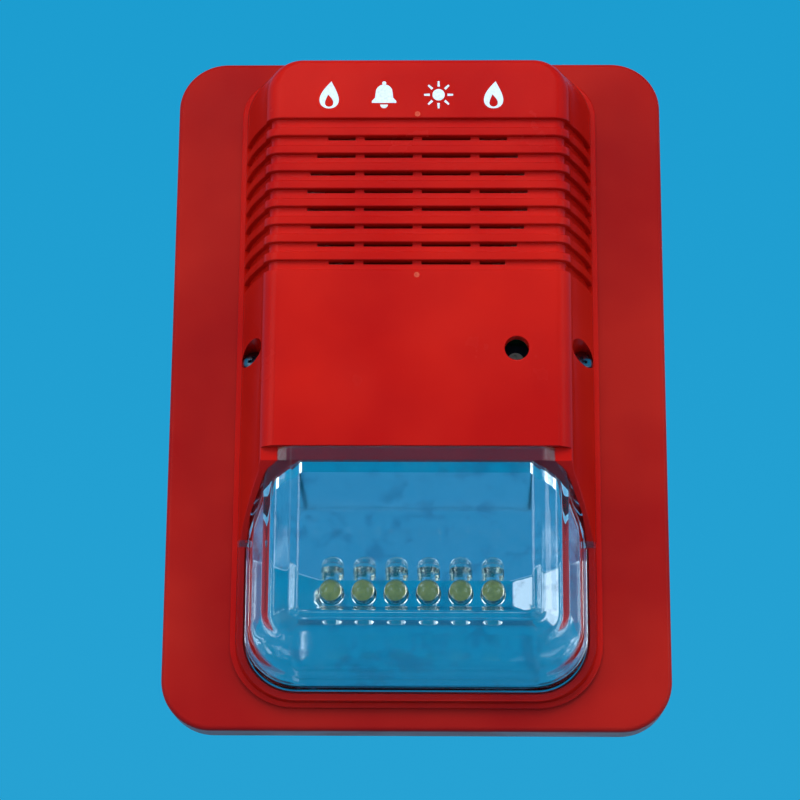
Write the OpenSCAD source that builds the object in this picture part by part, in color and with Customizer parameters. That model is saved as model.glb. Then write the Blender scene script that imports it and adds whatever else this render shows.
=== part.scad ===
// Horn strobe for a fire alarm. A louvred piezo sounder sits above a row of strobe lights behind a clear lens,
// and the whole cover screws to a back plate that stands on the wall.
//
// Every module is drawn in face coordinates: x to the right, y up, and z out of the back plate's front face.
// upright() then stands the piece on the wall, which is the plane y = 0, with +Z up and the front towards -Y.

/* [Back plate] */
// Width of the back plate
plate_w = 110; // [104:1:134]
// Height of the back plate
plate_h = 153.5; // [152:0.5:186]
// Depth of the back plate, without its foam gasket
plate_t = 9; // [9:0.5:14]
// Corner radius of the back plate
plate_r = 11; // [8:0.5:16]
// Thickness of the plate's walls, front skin and floor
plate_wall = 2.5; // [2:0.1:3]
// Thickness of the foam gasket against the wall
gasket_t = 1; // [0.5:0.1:2]
// Distance between the two wall screws
wall_screw_gap = 60; // [56:1:72]
// Width of a wall screw slot
wall_slot_w = 4.5; // [3.5:0.1:5]
// Length of a wall screw slot
wall_slot_l = 8; // [7:0.5:10]
// Diameter of the bore through the cable grommet
cable_d = 8; // [5:0.5:11]

/* [Housing] */
// Width of the front housing at its foot
housing_w = 80.4; // [79:0.2:97]
// Height of the front housing at its foot
housing_h = 144; // [142:1:150]
// Height of the front face above the back plate
housing_d = 20.5; // [20:0.5:26]
// Wall thickness of the housing
wall = 2.6; // [2.2:0.1:3.2]
// Width of the thin lip around the foot of the housing
lip_w = 1; // [0.6:0.1:1.4]
// Thickness of that lip
lip_t = 1.2; // [0.8:0.1:1.6]
// How far a side leans in between its foot and its shoulder
side_lean = 5.6; // [4:0.1:6]
// How far the top leans in between its foot and its shoulder
top_lean = 1.2; // [0.5:0.1:2]
// Radius of the rounded shoulders beside the front face
shoulder_r = 3.7; // [3:0.1:4.2]
// Corner radius at the foot, below the lens
foot_r = 14; // [12:0.5:15]
// Corner radius at the foot, at the top
crown_r = 9; // [8:0.5:11]

/* [Louvre] */
// Number of grooves across the front
groove_count = 9; // [7:1:9]
// Distance from one groove to the next
groove_pitch = 4.1; // [3.8:0.05:4.2]
// Height of one groove
groove_w = 2.2; // [1.8:0.1:2.4]
// Depth of one groove
groove_depth = 1.2; // [0.8:0.1:1.3]
// Height of the topmost groove's upper edge above the centre
groove_top = 55.2; // [54:0.1:56]
// Height of one sound slot
slot_h = 0.7; // [0.6:0.1:1.2]
// Distance from the round field of slots to the sounder cup's wall
grille_in = 1.6; // [1.3:0.1:3.5]
// Width of the bridges between the slots of a row
bridge_w = 2; // [1.5:0.1:2.5]
// Distance between two bridges
bridge_gap = 12.6; // [11:0.1:14]

/* [Lens and reflector] */
// Height of the lens's upper edge, measured from the centre
lens_top = -19; // [-20:0.5:-18]
// Wall thickness of the clear lens
lens_wall = 1.8; // [1.5:0.1:2]
// Height of the low rim that the lens stands on
rim_h = 4; // [3.8:0.1:4.4]
// Lean of the bulkhead behind the lens, from the plate's normal
bulkhead_angle = 47; // [46:0.5:48]
// Distance from the housing's foot to the lens, at the sides
lens_in = 3; // [2.6:0.1:3.2]
// Thickness of the mirror shell
mirror_t = 1.5; // [1.3:0.1:1.6]
// Number of strobe lights
led_count = 6; // [4:1:6]
// Distance between two strobe lights
led_pitch = 7; // [6.5:0.1:7.2]
// Diameter of one strobe light
led_d = 5; // [4.8:0.1:5]
// Sideways place of the row's middle
led_shift = -0.9; // [-1.5:0.1:1]

/* [Sounder] */
// Inner radius of the sounder cup
cup_r = 25.7; // [21:0.1:26]
// Wall thickness of the sounder cup
cup_wall = 1.5; // [1.2:0.1:1.6]
// Distance from the sound plate's edge to the cup's wall
disc_in = 3.2; // [2:0.1:4]
// Thickness of the brass sound plate
disc_t = 0.4; // [0.3:0.1:0.6]
// Radius of the ceramic on the sound plate
ceramic_r = 15; // [12:0.5:16]

/* [Adjustment and screws] */
// Diameter of the adjusting hole in the front
adjust_hole_d = 5.2; // [4.5:0.1:6]
// Sideways place of the adjusting hole
adjust_x = 21.5; // [20.5:0.5:22]
// Height of the adjusting hole
adjust_y = 2.6; // [1.5:0.1:3.5]
// Radius of the volume control's rotor
rotor_r = 1.9; // [1.6:0.1:2.2]
// Travel of a setting slider
slider_travel = 1.6; // [1.2:0.1:1.8]
// Diameter of the two screw wells in the sides
well_d = 5.4; // [5.2:0.1:5.8]
// Height of the screw wells
well_y = 4.2; // [3:0.1:5]
// Distance of a well's axis from the housing's foot
well_in = 4; // [3.9:0.1:4.4]
// Diameter of the cover screws
cover_screw_d = 3; // [2.5:0.1:3.2]

/* [Hidden] */

$fn = 48;
eps = 0.05;             // overlap that keeps cuts clean
seam_gap = 0.2;         // gap between the cover and the back plate
fit_gap = 0.3;          // gap around pieces that drop into place
shaft_gap = 0.05;       // radial gap of a screw or shaft in its hole
part_gap = 0.1;         // gap between bonded pieces
corner_steps = 8;       // facets in each rounded corner of a lofted shape

half_w = housing_w / 2;
half_h = housing_h / 2;
shoulder_z = housing_d - shoulder_r;
crown_drop = 1.8;       // how far the top edge's own shoulder comes down
lean_power = 1.5;       // above 1 the sides bulge outwards
inner_z = housing_d - wall;

floor_z = -plate_t + plate_wall;
open_r = 6;
edge_round = 1.2;       // rounding of the plate's front edge

lens_lip_w = 2.8;       // width of the lens's upper lip on the housing
lip_z = housing_d - lens_wall;
bulkhead_t = 1.6;
cut_run = tan(bulkhead_angle);
cut_foot = lens_top - lens_lip_w - lip_z * cut_run;
lens_half_w = half_w - lens_in;
lens_bottom = -half_h + 2.6;
flange_t = 1.2;
flange_out = 1.5;       // how far the lens's foot flange stands out from its wall

mirror_drop = (mirror_t + part_gap) / cos(bulkhead_angle);
strip_top = cut_foot - mirror_drop;
strip_h = led_d + 0.9;
led_y = strip_top - strip_h / 2;
strip_half_w = (led_count - 1) * led_pitch / 2 + led_d / 2 + 0.6;
dish_z = 1.8;           // height of the crease around the trough
dish_half_w = strip_half_w + 8;
dish_low = strip_top - strip_h - 4;
tray_half_w = lens_half_w - 0.5;
tray_bottom = lens_bottom + 0.5;
tray_z = rim_h - 0.2;
shelf_w = 1.5;          // width of the shelf that the mirror rests on
rim_fall = 0.1;         // how far the mirror's rim falls towards the dish
shelf_z = tray_z - mirror_t - part_gap;

grille_y = groove_top - groove_count * groove_pitch / 2;
grille_r = cup_r - grille_in;
disc_r = cup_r - disc_in;
seat_r = disc_r - 1.5;
outer_lead_x = -(ceramic_r + seat_r) / 2;
cup_back = 8;
cup_floor = 1.4;
cup_seat = inner_z - 5.9;
ear_r = 3.2;
ear_t = 2;
ear_reach = cup_r + cup_wall + 3.3;
ear_angles = [25, 155, 270];
seal_t = 1.6;

board_z = 3;
board_t = 1.6;
board_half_w = 28;
board_top = 62.5;
board_bottom = -15.5;
board_face = board_z + board_t;
board_screw_x = 24.5;
board_screw_ys = [59, -12];
small_screw_r = 1.2;
small_head_r = 2.3;
small_head_h = 1.5;

led_board_z = -mirror_t - 1.3;
led_board_t = 1.6;
led_board_half_w = strip_half_w + 6.5;
led_board_half_h = 6;
led_board_screw_x = strip_half_w + 4;
led_pilot_end = -mirror_t + 1;      // how deep the light board's screws reach into their bosses
led_flange_r = led_d / 2 + 0.4;
led_flange_t = 1;
led_length = 7.6;

well_x = half_w - well_in;
well_floor = 2;
cover_head_r = well_d / 2 - 0.25;
cover_head_h = 2;
insert_r = 2.2;
insert_l = 5;
insert_wall = 2;
open_half_w = well_x - insert_r - insert_wall;      // half the width of the wiring space in the back plate
open_top = half_h - 10;

peg_r = 1.5;
peg_x = 20;
peg_in = 2;

trimmer_w = 7;
trimmer_h = 5;
rotor_l = 2.2;
rotor_out = 0.3;
rotor_floor = 0.1;

switch_x = -17;
switch_y = 6;
switch_w = 6.4;
switch_l = 6.6;
switch_h = 3.6;
slider_pitch = 2.54;
slider_w = 1.3;
slider_l = 1.4;
slider_h = 1.9;
slider_out = 0.8;

terminal_poles = 4;
terminal_pitch = 5;
terminal_w = terminal_poles * terminal_pitch + 0.4;
terminal_d = 8;
terminal_h = 8.2;
terminal_y = 17;
terminal_screw_r = 1.6;

lead_r = 0.6;
lead_sides = 10;
strobe_lead_xs = [-9, -6];

// How far the housing's side has come in at height z.
function lean(z) = pow(max(0, min(z / shoulder_z, 1)), lean_power);
function shoulder(z) = z <= shoulder_z ? 0 : 1 - sqrt(max(0, 1 - pow((z - shoulder_z) / shoulder_r, 2)));
function side_x(z) = half_w - lip_w - side_lean * lean(z) - shoulder_r * shoulder(z);
function crown_y(z) = half_h - lip_w - top_lean * lean(z) - crown_drop * shoulder(z);
function cut_y(z) = cut_foot + z * cut_run;
function mirror_y(z) = cut_y(z) - mirror_drop;

// A quarter circle of points around x, y, starting at an angle.
function corner(x, y, r, start, z) =
    [for (i = [0 : corner_steps]) let (a = start + 90 * i / corner_steps) [x + r * cos(a), y + r * sin(a), z]];

// One closed ring of points around a rounded rectangle, with its own radius at the top and at the bottom.
function ring(half, top, bottom, r_top, r_bottom, z) =
    concat(
        corner(half - r_bottom, bottom + r_bottom, r_bottom, -90, z),
        corner(half - r_top, top - r_top, r_top, 0, z),
        corner(-half + r_top, top - r_top, r_top, 90, z),
        corner(-half + r_bottom, bottom + r_bottom, r_bottom, 180, z)
    );

// A solid through a stack of rings that all have the same number of points.
module loft(rings) {
    n = len(rings[0]);
    m = len(rings);
    walls = [
        for (k = [0 : m - 2], i = [0 : n - 1])
            let (a = k * n + i, b = k * n + (i + 1) % n)
            each [[a, a + n, b + n], [a, b + n, b]]
    ];
    caps = [[for (i = [0 : n - 1]) i], [for (i = [0 : n - 1]) m * n - 1 - i]];
    polyhedron(points = [for (r = rings) each r], faces = concat(walls, caps));
}

module upright() {
    rotate([90, 0, 0])
        translate([0, 0, gasket_t + plate_t])
            children();
}

// A flat rounded rectangle between two heights.
module slab(half, top, bottom, r, z0, z1) {
    translate([0, 0, z0])
        linear_extrude(z1 - z0)
            union() {
                translate([-half, bottom + r])
                    square([2 * half, top - bottom - 2 * r]);
                translate([-half + r, bottom])
                    square([2 * (half - r), top - bottom]);
                for (x = [-half + r, half - r], y = [bottom + r, top - r])
                    translate([x, y])
                        circle(r);
            }
}

module box(x0, x1, y0, y1, z0, z1) {
    translate([x0, y0, z0])
        cube([x1 - x0, y1 - y0, z1 - z0]);
}

module post(x, y, r, z0, z1) {
    translate([x, y, z0])
        cylinder(r = r, h = z1 - z0);
}

// The side profile of a piece, as points [y, z], drawn across the whole width.
module across(points, half = plate_w) {
    rotate([90, 0, 90])
        translate([0, 0, -half])
            linear_extrude(2 * half)
                polygon(points);
}

// A pan head screw with a cross recess. Its head's underside is at z = 0 and its shank runs down from there.
module pan_screw(r, length, head_r, head_h) {
    recess_w = head_r * 0.32;
    recess_l = head_r * 1.1;
    difference() {
        union() {
            translate([0, 0, -length])
                cylinder(r = r, h = length + eps);
            cylinder(r = head_r, h = head_h);
        }
        for (a = [0, 90])
            rotate([0, 0, a])
                translate([-recess_l / 2, -recess_w / 2, head_h * 0.45])
                    cube([recess_l, recess_w, head_h]);
    }
}

module small_screw(x, y, z, length) {
    translate([x, y, z])
        rotate([180, 0, 0])
            pan_screw(small_screw_r, length, small_head_r, small_head_h);
}

function unit(v) = v / norm(v);

// A round lead swept along points that lie in one plane, with side as that plane's normal.
module lead(points, side) {
    n = len(points);
    along = [for (i = [0 : n - 2]) unit(points[i + 1] - points[i])];
    heading = [for (i = [0 : n - 1]) unit(along[max(i - 1, 0)] + along[min(i, n - 2)])];
    loft([
        for (i = [0 : n - 1])
            let (up = cross(heading[i], side), stretch = 1 / (heading[i] * along[min(i, n - 2)]))
            [for (k = [0 : lead_sides - 1])
                let (a = 360 * k / lead_sides)
                points[i] + lead_r * (cos(a) * side + sin(a) * stretch * up)]
    ]);
}

/* ---- the housing's form ---- */

// The housing's outer shape, drawn in by shrink on every side and at the front.
module housing_form(shrink, foot = seam_gap) {
    arc = [for (a = [0 : 18 : 90]) shoulder_z + shoulder_r * sin(a)];
    slope = [for (i = [0 : 3]) shoulder_z * i / 4];
    loft([
        for (z = concat(slope, arc))
            ring(
                side_x(z) - shrink,
                crown_y(z) - shrink,
                -crown_y(z) + shrink,
                crown_r - lip_w - (shoulder_r - 0.5) * shoulder(z) - shrink * 0.5,
                foot_r - lip_w - shoulder_r * shoulder(z) - shrink * 0.5,
                z == 0 ? foot : z - shrink
            )
    ]);
}

module foot_lip() {
    loft([for (z = [seam_gap, seam_gap + lip_t]) ring(half_w, half_h, -half_h, crown_r, foot_r, z)]);
}

module groove_bands() {
    for (i = [0 : groove_count - 1])
        box(-half_w, half_w, groove_top - i * groove_pitch - groove_w, groove_top - i * groove_pitch,
            seam_gap + lip_t + 0.6, housing_d + 1);
}

module sound_slots() {
    for (i = [1 : groove_count - 1]) {
        y1 = groove_top - i * groove_pitch;
        reach = sqrt(pow(grille_r, 2) - pow(y1 - slot_h / 2 - grille_y, 2));
        difference() {
            box(-reach, reach, y1 - slot_h, y1, inner_z - 1, housing_d);
            for (x = [-bridge_gap, 0, bridge_gap])
                box(x - bridge_w / 2, x + bridge_w / 2, y1 - slot_h - 1, y1 + 1,
                    inner_z - 2, housing_d + 1);
        }
    }
}

// Everything in front of the bulkhead and above the rim. drop lowers it, for the lens that fills it.
module lens_space(drop = 0, floor = rim_h, back = 0) {
    z1 = housing_d + 5;
    across([
        [lens_top - drop, z1],
        [lens_top - drop, lip_z],
        [cut_y(lip_z) - drop + back, lip_z],
        [cut_y(floor) - drop + back, floor],
        [-plate_h, floor],
        [-plate_h, z1]
    ]);
}

// The space that the bulkhead and the lens end take from the housing's hollow.
module lens_end() {
    z0 = -plate_t;
    z1 = housing_d + 5;
    rise = bulkhead_t / cos(bulkhead_angle);
    across([
        [cut_y(z0) + rise, z0],
        [cut_y(z1) + rise, z1],
        [-plate_h, z1],
        [-plate_h, z0]
    ]);
}

module housing_posts() {
    for (s = [-1, 1]) {
        for (y = board_screw_ys)
            post(s * board_screw_x, y, 2.6, board_face, housing_d);
        post(s * well_x, well_y, well_d / 2 + 1.3, -1, housing_d);
    }
    for (a = ear_angles)
        post(ear_reach * cos(a), grille_y + ear_reach * sin(a), 2.6, cup_seat + ear_t, housing_d);
    difference() {
        post(0, grille_y, cup_r + cup_wall + 1.4, inner_z - 2, housing_d);
        post(0, grille_y, cup_r + cup_wall + 0.1, 0, housing_d);
    }
}

module screw_pilots() {
    for (s = [-1, 1], y = board_screw_ys)
        post(s * board_screw_x, y, small_screw_r + shaft_gap, board_face - 1, board_face + 8);
    for (a = ear_angles)
        post(ear_reach * cos(a), grille_y + ear_reach * sin(a), small_screw_r + shaft_gap,
            cup_seat, cup_seat + ear_t + 4.6);
}

module front_housing() {
    color([0.78, 0.07, 0.05])
        upright()
            union() {
                difference() {
                    union() {
                        foot_lip();
                        difference() {
                            housing_form(0);
                            difference() {
                                groove_bands();
                                housing_form(groove_depth);
                            }
                        }
                    }
                    difference() {
                        housing_form(wall, -1);
                        housing_posts();
                        lens_end();
                    }
                    lens_space();
                    intersection() {
                        lens_space(0, -1);
                        union() {
                            slab(lens_half_w - 0.1, 0, lens_bottom + 0.1, foot_r - 2.4, shelf_z, rim_h + 1);
                            slab(lens_half_w - shelf_w, 0, lens_bottom + shelf_w, foot_r - 3.8,
                                -1, shelf_z + eps);
                        }
                    }
                    sound_slots();
                    screw_pilots();
                    post(adjust_x, adjust_y, adjust_hole_d / 2, inner_z - 2, housing_d + 1);
                    for (s = [-1, 1]) {
                        post(s * well_x, well_y, well_d / 2, well_floor, housing_d + 1);
                        post(s * well_x, well_y, cover_screw_d / 2 + 0.2, -2, well_floor + 1);
                    }
                }
                for (x = [-peg_x, peg_x], y = [-half_h + peg_in, half_h - peg_in])
                    post(x, y, peg_r, -1.8, seam_gap + eps);
            }
}

/* ---- the back plate ---- */

module plate_outline(inset, z0, z1) {
    slab(plate_w / 2 - inset, plate_h / 2 - inset, -plate_h / 2 + inset, plate_r - inset, z0, z1);
}

module plate_block() {
    rings = [
        for (a = [0 : 22.5 : 90])
            let (inset = edge_round * (1 - cos(a)), z = -edge_round * (1 - sin(a)))
            ring(plate_w / 2 - inset, plate_h / 2 - inset, -plate_h / 2 + inset,
                plate_r - inset, plate_r - inset, z)
    ];
    foot = ring(plate_w / 2, plate_h / 2, -plate_h / 2, plate_r, plate_r, -plate_t);
    loft(concat([foot], rings));
}

module plate_moat() {
    difference() {
        plate_outline(plate_wall, -plate_t - 1, -plate_wall);
        slab(open_half_w + plate_wall, open_top + plate_wall, -open_top - plate_wall, open_r + plate_wall,
            -plate_t - 2, 0);
        for (s = [-1, 1])
            post(s * well_x, well_y, insert_r + insert_wall, -plate_t - 2, 0);
        for (y = [-50, -25, 25, 50])
            box(-plate_w, plate_w, y - 0.8, y + 0.8, -plate_t + 1, 0);
        for (x = [-24, -8, 8, 24])
            box(x - 0.8, x + 0.8, -plate_h, plate_h, -plate_t + 1, 0);
    }
}

module wall_slot(y) {
    r = wall_slot_w / 2;
    reach = (wall_slot_l - wall_slot_w) / 2;
    for (s = [-1, 1])
        post(0, y + s * reach, r, -plate_t - 1, floor_z + 1);
    box(-r, r, y - reach, y + reach, -plate_t - 1, floor_z + 1);
}

module back_plate() {
    color([0.66, 0.09, 0.07])
        upright()
            difference() {
                plate_block();
                plate_moat();
                slab(open_half_w, open_top, -open_top, open_r, floor_z, 1);
                for (s = [-1, 1]) {
                    wall_slot(s * wall_screw_gap / 2);
                    post(s * well_x, well_y, insert_r, -insert_l - 0.5, 1);
                    post(s * well_x, well_y, cover_screw_d / 2 + 0.3, -plate_t + 1, 1);
                }
                post(0, 0, cable_d / 2 + 3, -plate_t - 1, floor_z + 1);
                for (x = [-peg_x, peg_x], y = [-half_h + peg_in, half_h - peg_in])
                    post(x, y, peg_r + fit_gap, -plate_wall - 1, 1);
            }
}

module wall_gasket() {
    color([0.32, 0.33, 0.35])
        upright()
            difference() {
                plate_outline(0.3, -plate_t - gasket_t, -plate_t);
                plate_outline(7, -plate_t - gasket_t - 1, -plate_t + 1);
            }
}

module cable_grommet() {
    neck_r = cable_d / 2 + 3;
    color([0.08, 0.08, 0.09])
        upright()
            difference() {
                union() {
                    post(0, 0, neck_r, -plate_t - gasket_t, floor_z + 1);
                    post(0, 0, neck_r + 1.6, -plate_t - gasket_t, -plate_t);
                    post(0, 0, neck_r + 1.6, floor_z, floor_z + 1.2);
                }
                post(0, 0, cable_d / 2, -plate_t - gasket_t - 1, floor_z + 3);
            }
}

module threaded_inserts() {
    color([0.80, 0.62, 0.28])
        upright()
            for (s = [-1, 1])
                difference() {
                    post(s * well_x, well_y, insert_r, -insert_l - 0.5, -0.5);
                    post(s * well_x, well_y, cover_screw_d / 2 + shaft_gap, -insert_l - 2, 1);
                }
}

module cover_screws() {
    color([0.75, 0.75, 0.78])
        upright()
            for (s = [-1, 1])
                translate([s * well_x, well_y, well_floor])
                    pan_screw(cover_screw_d / 2, well_floor + insert_l + 0.5, cover_head_r, cover_head_h);
}

/* ---- the lens and the mirror behind it ---- */

// Steps up the lens: share of its height, then how far side and bottom have come in, and the corner radius.
lens_steps = [[0, 0, 0, 11.8], [0.36, 1.6, 3.4, 9.5], [0.8, 5.2, 9.4, 5.5], [1, 10.7, 13.4, 1.4]];

module lens_form(shrink, foot) {
    loft([
        for (step = lens_steps)
            ring(
                lens_half_w - step[1] - shrink,
                lens_top + 6,
                lens_bottom + step[2] + shrink,
                1,
                step[3] - shrink * 0.3,
                step[0] == 0 ? foot : rim_h + step[0] * (housing_d - rim_h) - shrink
            )
    ]);
}

module clear_lens() {
    color([0.85, 0.93, 0.97, 0.35])
        upright()
            difference() {
                intersection() {
                    lens_space(part_gap);
                    union() {
                        lens_form(0, rim_h - 1);
                        slab(lens_half_w + flange_out, 0, lens_bottom - flange_out + 0.3, foot_r - 1.2,
                            rim_h - 1, rim_h + flange_t);
                    }
                }
                intersection() {
                    lens_form(lens_wall, rim_h - 2);
                    lens_space(part_gap, rim_h - 3);
                }
            }
}

// The outline of the tray's rim, drawn in by inset, at height z.
function rim_ring(inset, z) =
    ring(tray_half_w - inset, mirror_y(z), tray_bottom + inset, 0.8, foot_r - 2.9 - inset, z);

// The mirror's front face as rings: the lights' strip, the crease around it, and the inside of the flat rim.
function mirror_rings(back) = [
    ring(strip_half_w + back, mirror_y(0 - back), strip_top - strip_h - back, 0.5, 0.5, -back),
    ring(dish_half_w + back * 0.5, mirror_y(dish_z - back), dish_low - back * 0.5, 0.8, 0.8, dish_z - back),
    rim_ring(shelf_w + fit_gap, tray_z - rim_fall - back)
];

module reflector() {
    color([0.86, 0.88, 0.90])
        upright()
            difference() {
                union() {
                    difference() {
                        loft(concat(mirror_rings(mirror_t),
                            [rim_ring(0, tray_z - mirror_t), rim_ring(0, tray_z)]));
                        loft(concat(mirror_rings(0), [rim_ring(shelf_w + fit_gap, tray_z + 1)]));
                    }
                    intersection() {
                        across([
                            [mirror_y(-mirror_t), -mirror_t],
                            [mirror_y(housing_d), housing_d],
                            [cut_y(housing_d) - part_gap, housing_d],
                            [cut_y(-mirror_t) - part_gap, -mirror_t]
                        ]);
                        union() {
                            lens_form(lens_wall + fit_gap, rim_h - 0.5);
                            slab(tray_half_w, 0, tray_bottom, foot_r - 2.9, tray_z - mirror_t, tray_z);
                            box(-dish_half_w, dish_half_w, tray_bottom, 0, -mirror_t, tray_z);
                        }
                    }
                    for (s = [-1, 1])
                        post(s * led_board_screw_x, led_y, 2.2, led_board_z, 0.3);
                }
                for (i = [0 : led_count - 1])
                    post(led_x(i), led_y, led_d / 2 + 0.1, -mirror_t - 1, 1);
                for (s = [-1, 1])
                    post(s * led_board_screw_x, led_y, small_screw_r + shaft_gap,
                        led_board_z - 1, led_pilot_end);
            }
}

function led_x(i) = led_shift + (i - (led_count - 1) / 2) * led_pitch;

// The metal frame inside one light: a cup on one post, a second post beside it, and two legs.
module led_core() {
    leg = 0.5;
    for (s = [-1, 1]) {
        box(s * 1.27 - leg / 2, s * 1.27 + leg / 2, -leg / 2, leg / 2, led_board_z - led_board_t - 0.8, 1.4);
    }
    box(-1.27 - leg / 2, 0.35, -leg / 2, leg / 2, 1.4, 2.4);
    post(-0.2, 0, 1.5, 2.4, 3.2);
    box(1.5, 1.9, -leg / 2, leg / 2, 1.4, 2.6);
    box(1.27 - leg / 2, 1.9, -leg / 2, leg / 2, 1.4 - eps, 1.7);
}

module led_cores() {
    color([0.80, 0.78, 0.25])
        upright()
            for (i = [0 : led_count - 1])
                translate([led_x(i), led_y, 0])
                    led_core();
}

module strobe_leds() {
    color([0.90, 0.95, 0.85, 0.6])
        upright()
            for (i = [0 : led_count - 1])
                translate([led_x(i), led_y, 0])
                    difference() {
                        union() {
                            post(0, 0, led_flange_r, -mirror_t - led_flange_t, -mirror_t);
                            post(0, 0, led_d / 2, -mirror_t - eps, led_length - mirror_t - led_d / 2);
                            translate([0, 0, led_length - mirror_t - led_d / 2])
                                sphere(r = led_d / 2);
                        }
                        led_core();
                    }
}

module led_board() {
    color([0.10, 0.35, 0.18])
        upright()
            difference() {
                slab(led_board_half_w, led_y + led_board_half_h, led_y - led_board_half_h, 1,
                    led_board_z - led_board_t, led_board_z);
                for (s = [-1, 1])
                    post(s * led_board_screw_x, led_y, small_screw_r + 0.2, led_board_z - 3, led_board_z + 1);
                for (i = [0 : led_count - 1], s = [-1, 1])
                    post(led_x(i) + s * 1.27, led_y, 0.45, led_board_z - 3, led_board_z + 1);
            }
}

module led_board_screws() {
    color([0.70, 0.70, 0.72])
        upright()
            for (s = [-1, 1])
                small_screw(s * led_board_screw_x, led_y, led_board_z - led_board_t,
                    led_pilot_end - 0.2 - led_board_z + led_board_t);
}

module strobe_leads() {
    y1 = led_y + led_board_half_h - 1.5;
    low = led_board_z - led_board_t - 0.8;
    color([0.75, 0.12, 0.10])
        upright()
            for (x = strobe_lead_xs)
                lead([
                    [x, -12, board_z],
                    [x, -12, 1.5],
                    [x, -13.2, 0],
                    [x, -17, -1.2],
                    [x, -26, -2.2],
                    [x, y1 + 5, low],
                    [x, y1 + 1.2, low],
                    [x, y1, low + 0.2],
                    [x, y1, led_board_z - led_board_t]
                ], [1, 0, 0]);
}

/* ---- the sounder ---- */

module sounder_cup() {
    outer_r = cup_r + cup_wall;
    color([0.10, 0.10, 0.11])
        upright()
            difference() {
                union() {
                    post(0, grille_y, outer_r, cup_back, inner_z);
                    for (a = ear_angles) {
                        x = ear_reach * cos(a);
                        y = grille_y + ear_reach * sin(a);
                        post(x, y, ear_r, cup_seat, cup_seat + ear_t);
                        translate([0, grille_y, cup_seat])
                            rotate([0, 0, a])
                                translate([outer_r - 2, -ear_r, 0])
                                    cube([ear_reach - outer_r + 2, 2 * ear_r, ear_t]);
                    }
                }
                post(0, grille_y, cup_r, cup_seat, inner_z + 1);
                post(0, grille_y, seat_r, cup_back + cup_floor, inner_z + 1);
                post(0, grille_y, 1.2, cup_back - 1, cup_back + 2);
                box(-20, -6, grille_y - 1.5, grille_y + 1.5, cup_back - 1, cup_back + cup_floor + 1);
                for (a = ear_angles)
                    post(ear_reach * cos(a), grille_y + ear_reach * sin(a), small_screw_r + 0.2,
                        cup_seat - 1, cup_seat + ear_t + 1);
            }
}

module sound_plate() {
    color([0.83, 0.66, 0.30])
        upright()
            post(0, grille_y, disc_r, cup_seat, cup_seat + disc_t);
}

module sound_ceramic() {
    color([0.90, 0.88, 0.82])
        upright()
            post(0, grille_y, ceramic_r, cup_seat - 0.3, cup_seat);
}

module sounder_seal() {
    color([0.82, 0.82, 0.78])
        upright()
            difference() {
                post(0, grille_y, cup_r - 0.1, cup_seat + disc_t, cup_seat + disc_t + seal_t);
                post(0, grille_y, seat_r, cup_seat, cup_seat + 5);
            }
}

module sounder_screws() {
    color([0.70, 0.70, 0.72])
        upright()
            for (a = ear_angles)
                small_screw(ear_reach * cos(a), grille_y + ear_reach * sin(a), cup_seat, ear_t + 4.4);
}

module sounder_leads() {
    color([0.15, 0.15, 0.16])
        upright()
            for (end = [[outer_lead_x, cup_seat], [-9, cup_seat - 0.3]]) {
                lead([
                    [end.x, grille_y, board_face],
                    [end.x, grille_y, board_face + 1.4],
                    [end.x + 0.5, grille_y, board_face + 3.4],
                    [end.x + 0.5, grille_y, end.y - 2.6],
                    [end.x, grille_y, end.y - 1.2],
                    [end.x, grille_y, end.y]
                ], [0, 1, 0]);
            }
}

/* ---- the circuit board and what stands on it ---- */

module main_board() {
    color([0.10, 0.40, 0.20])
        upright()
            difference() {
                slab(board_half_w, board_top, board_bottom, 3, board_z, board_face);
                for (s = [-1, 1], y = board_screw_ys)
                    post(s * board_screw_x, y, small_screw_r + 0.2, board_z - 1, board_face + 1);
            }
}

module board_screws() {
    color([0.70, 0.70, 0.72])
        upright()
            for (s = [-1, 1], y = board_screw_ys)
                small_screw(s * board_screw_x, y, board_z, board_t + 6);
}

function pole_x(i) = (i - (terminal_poles - 1) / 2) * terminal_pitch;

module terminal_block() {
    back = board_z - terminal_h;
    color([0.10, 0.45, 0.30])
        upright()
            difference() {
                box(-terminal_w / 2, terminal_w / 2, terminal_y - terminal_d / 2, terminal_y + terminal_d / 2,
                    back, board_z);
                for (i = [0 : terminal_poles - 1]) {
                    post(pole_x(i), terminal_y, terminal_screw_r + 0.2, back - 1, back + 2.4);
                    box(pole_x(i) - 1.7, pole_x(i) + 1.7, terminal_y - terminal_d / 2 - 1, terminal_y + 2.2,
                        back + 2.4 - eps, back + 6.2);
                }
            }
}

module terminal_screws() {
    back = board_z - terminal_h;
    color([0.72, 0.72, 0.74])
        upright()
            for (i = [0 : terminal_poles - 1])
                difference() {
                    post(pole_x(i), terminal_y, terminal_screw_r, back + 0.6, back + 2.9);
                    box(pole_x(i) - 1.3, pole_x(i) + 1.3, terminal_y - 0.25, terminal_y + 0.25,
                        back, back + 1.2);
                }
}

// One square cage per pole, open towards the cable.
module wire_clamps() {
    back = board_z - terminal_h;
    color([0.76, 0.66, 0.40])
        upright()
            for (i = [0 : terminal_poles - 1])
                difference() {
                    box(pole_x(i) - 1.6, pole_x(i) + 1.6, terminal_y - 2, terminal_y + 2,
                        back + 2.95, back + 6.1);
                    box(pole_x(i) - 1.1, pole_x(i) + 1.1, terminal_y - 3, terminal_y + 3,
                        back + 3.45, back + 5.6);
                }
}

module volume_control() {
    z1 = board_face + trimmer_h;
    color([0.12, 0.30, 0.62])
        upright()
            difference() {
                box(adjust_x - trimmer_w / 2, adjust_x + trimmer_w / 2, adjust_y - trimmer_w / 2,
                    adjust_y + trimmer_w / 2, board_face, z1);
                post(adjust_x, adjust_y, rotor_r + 0.08, z1 - rotor_l + rotor_out - rotor_floor, z1 + 1);
            }
}

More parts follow.
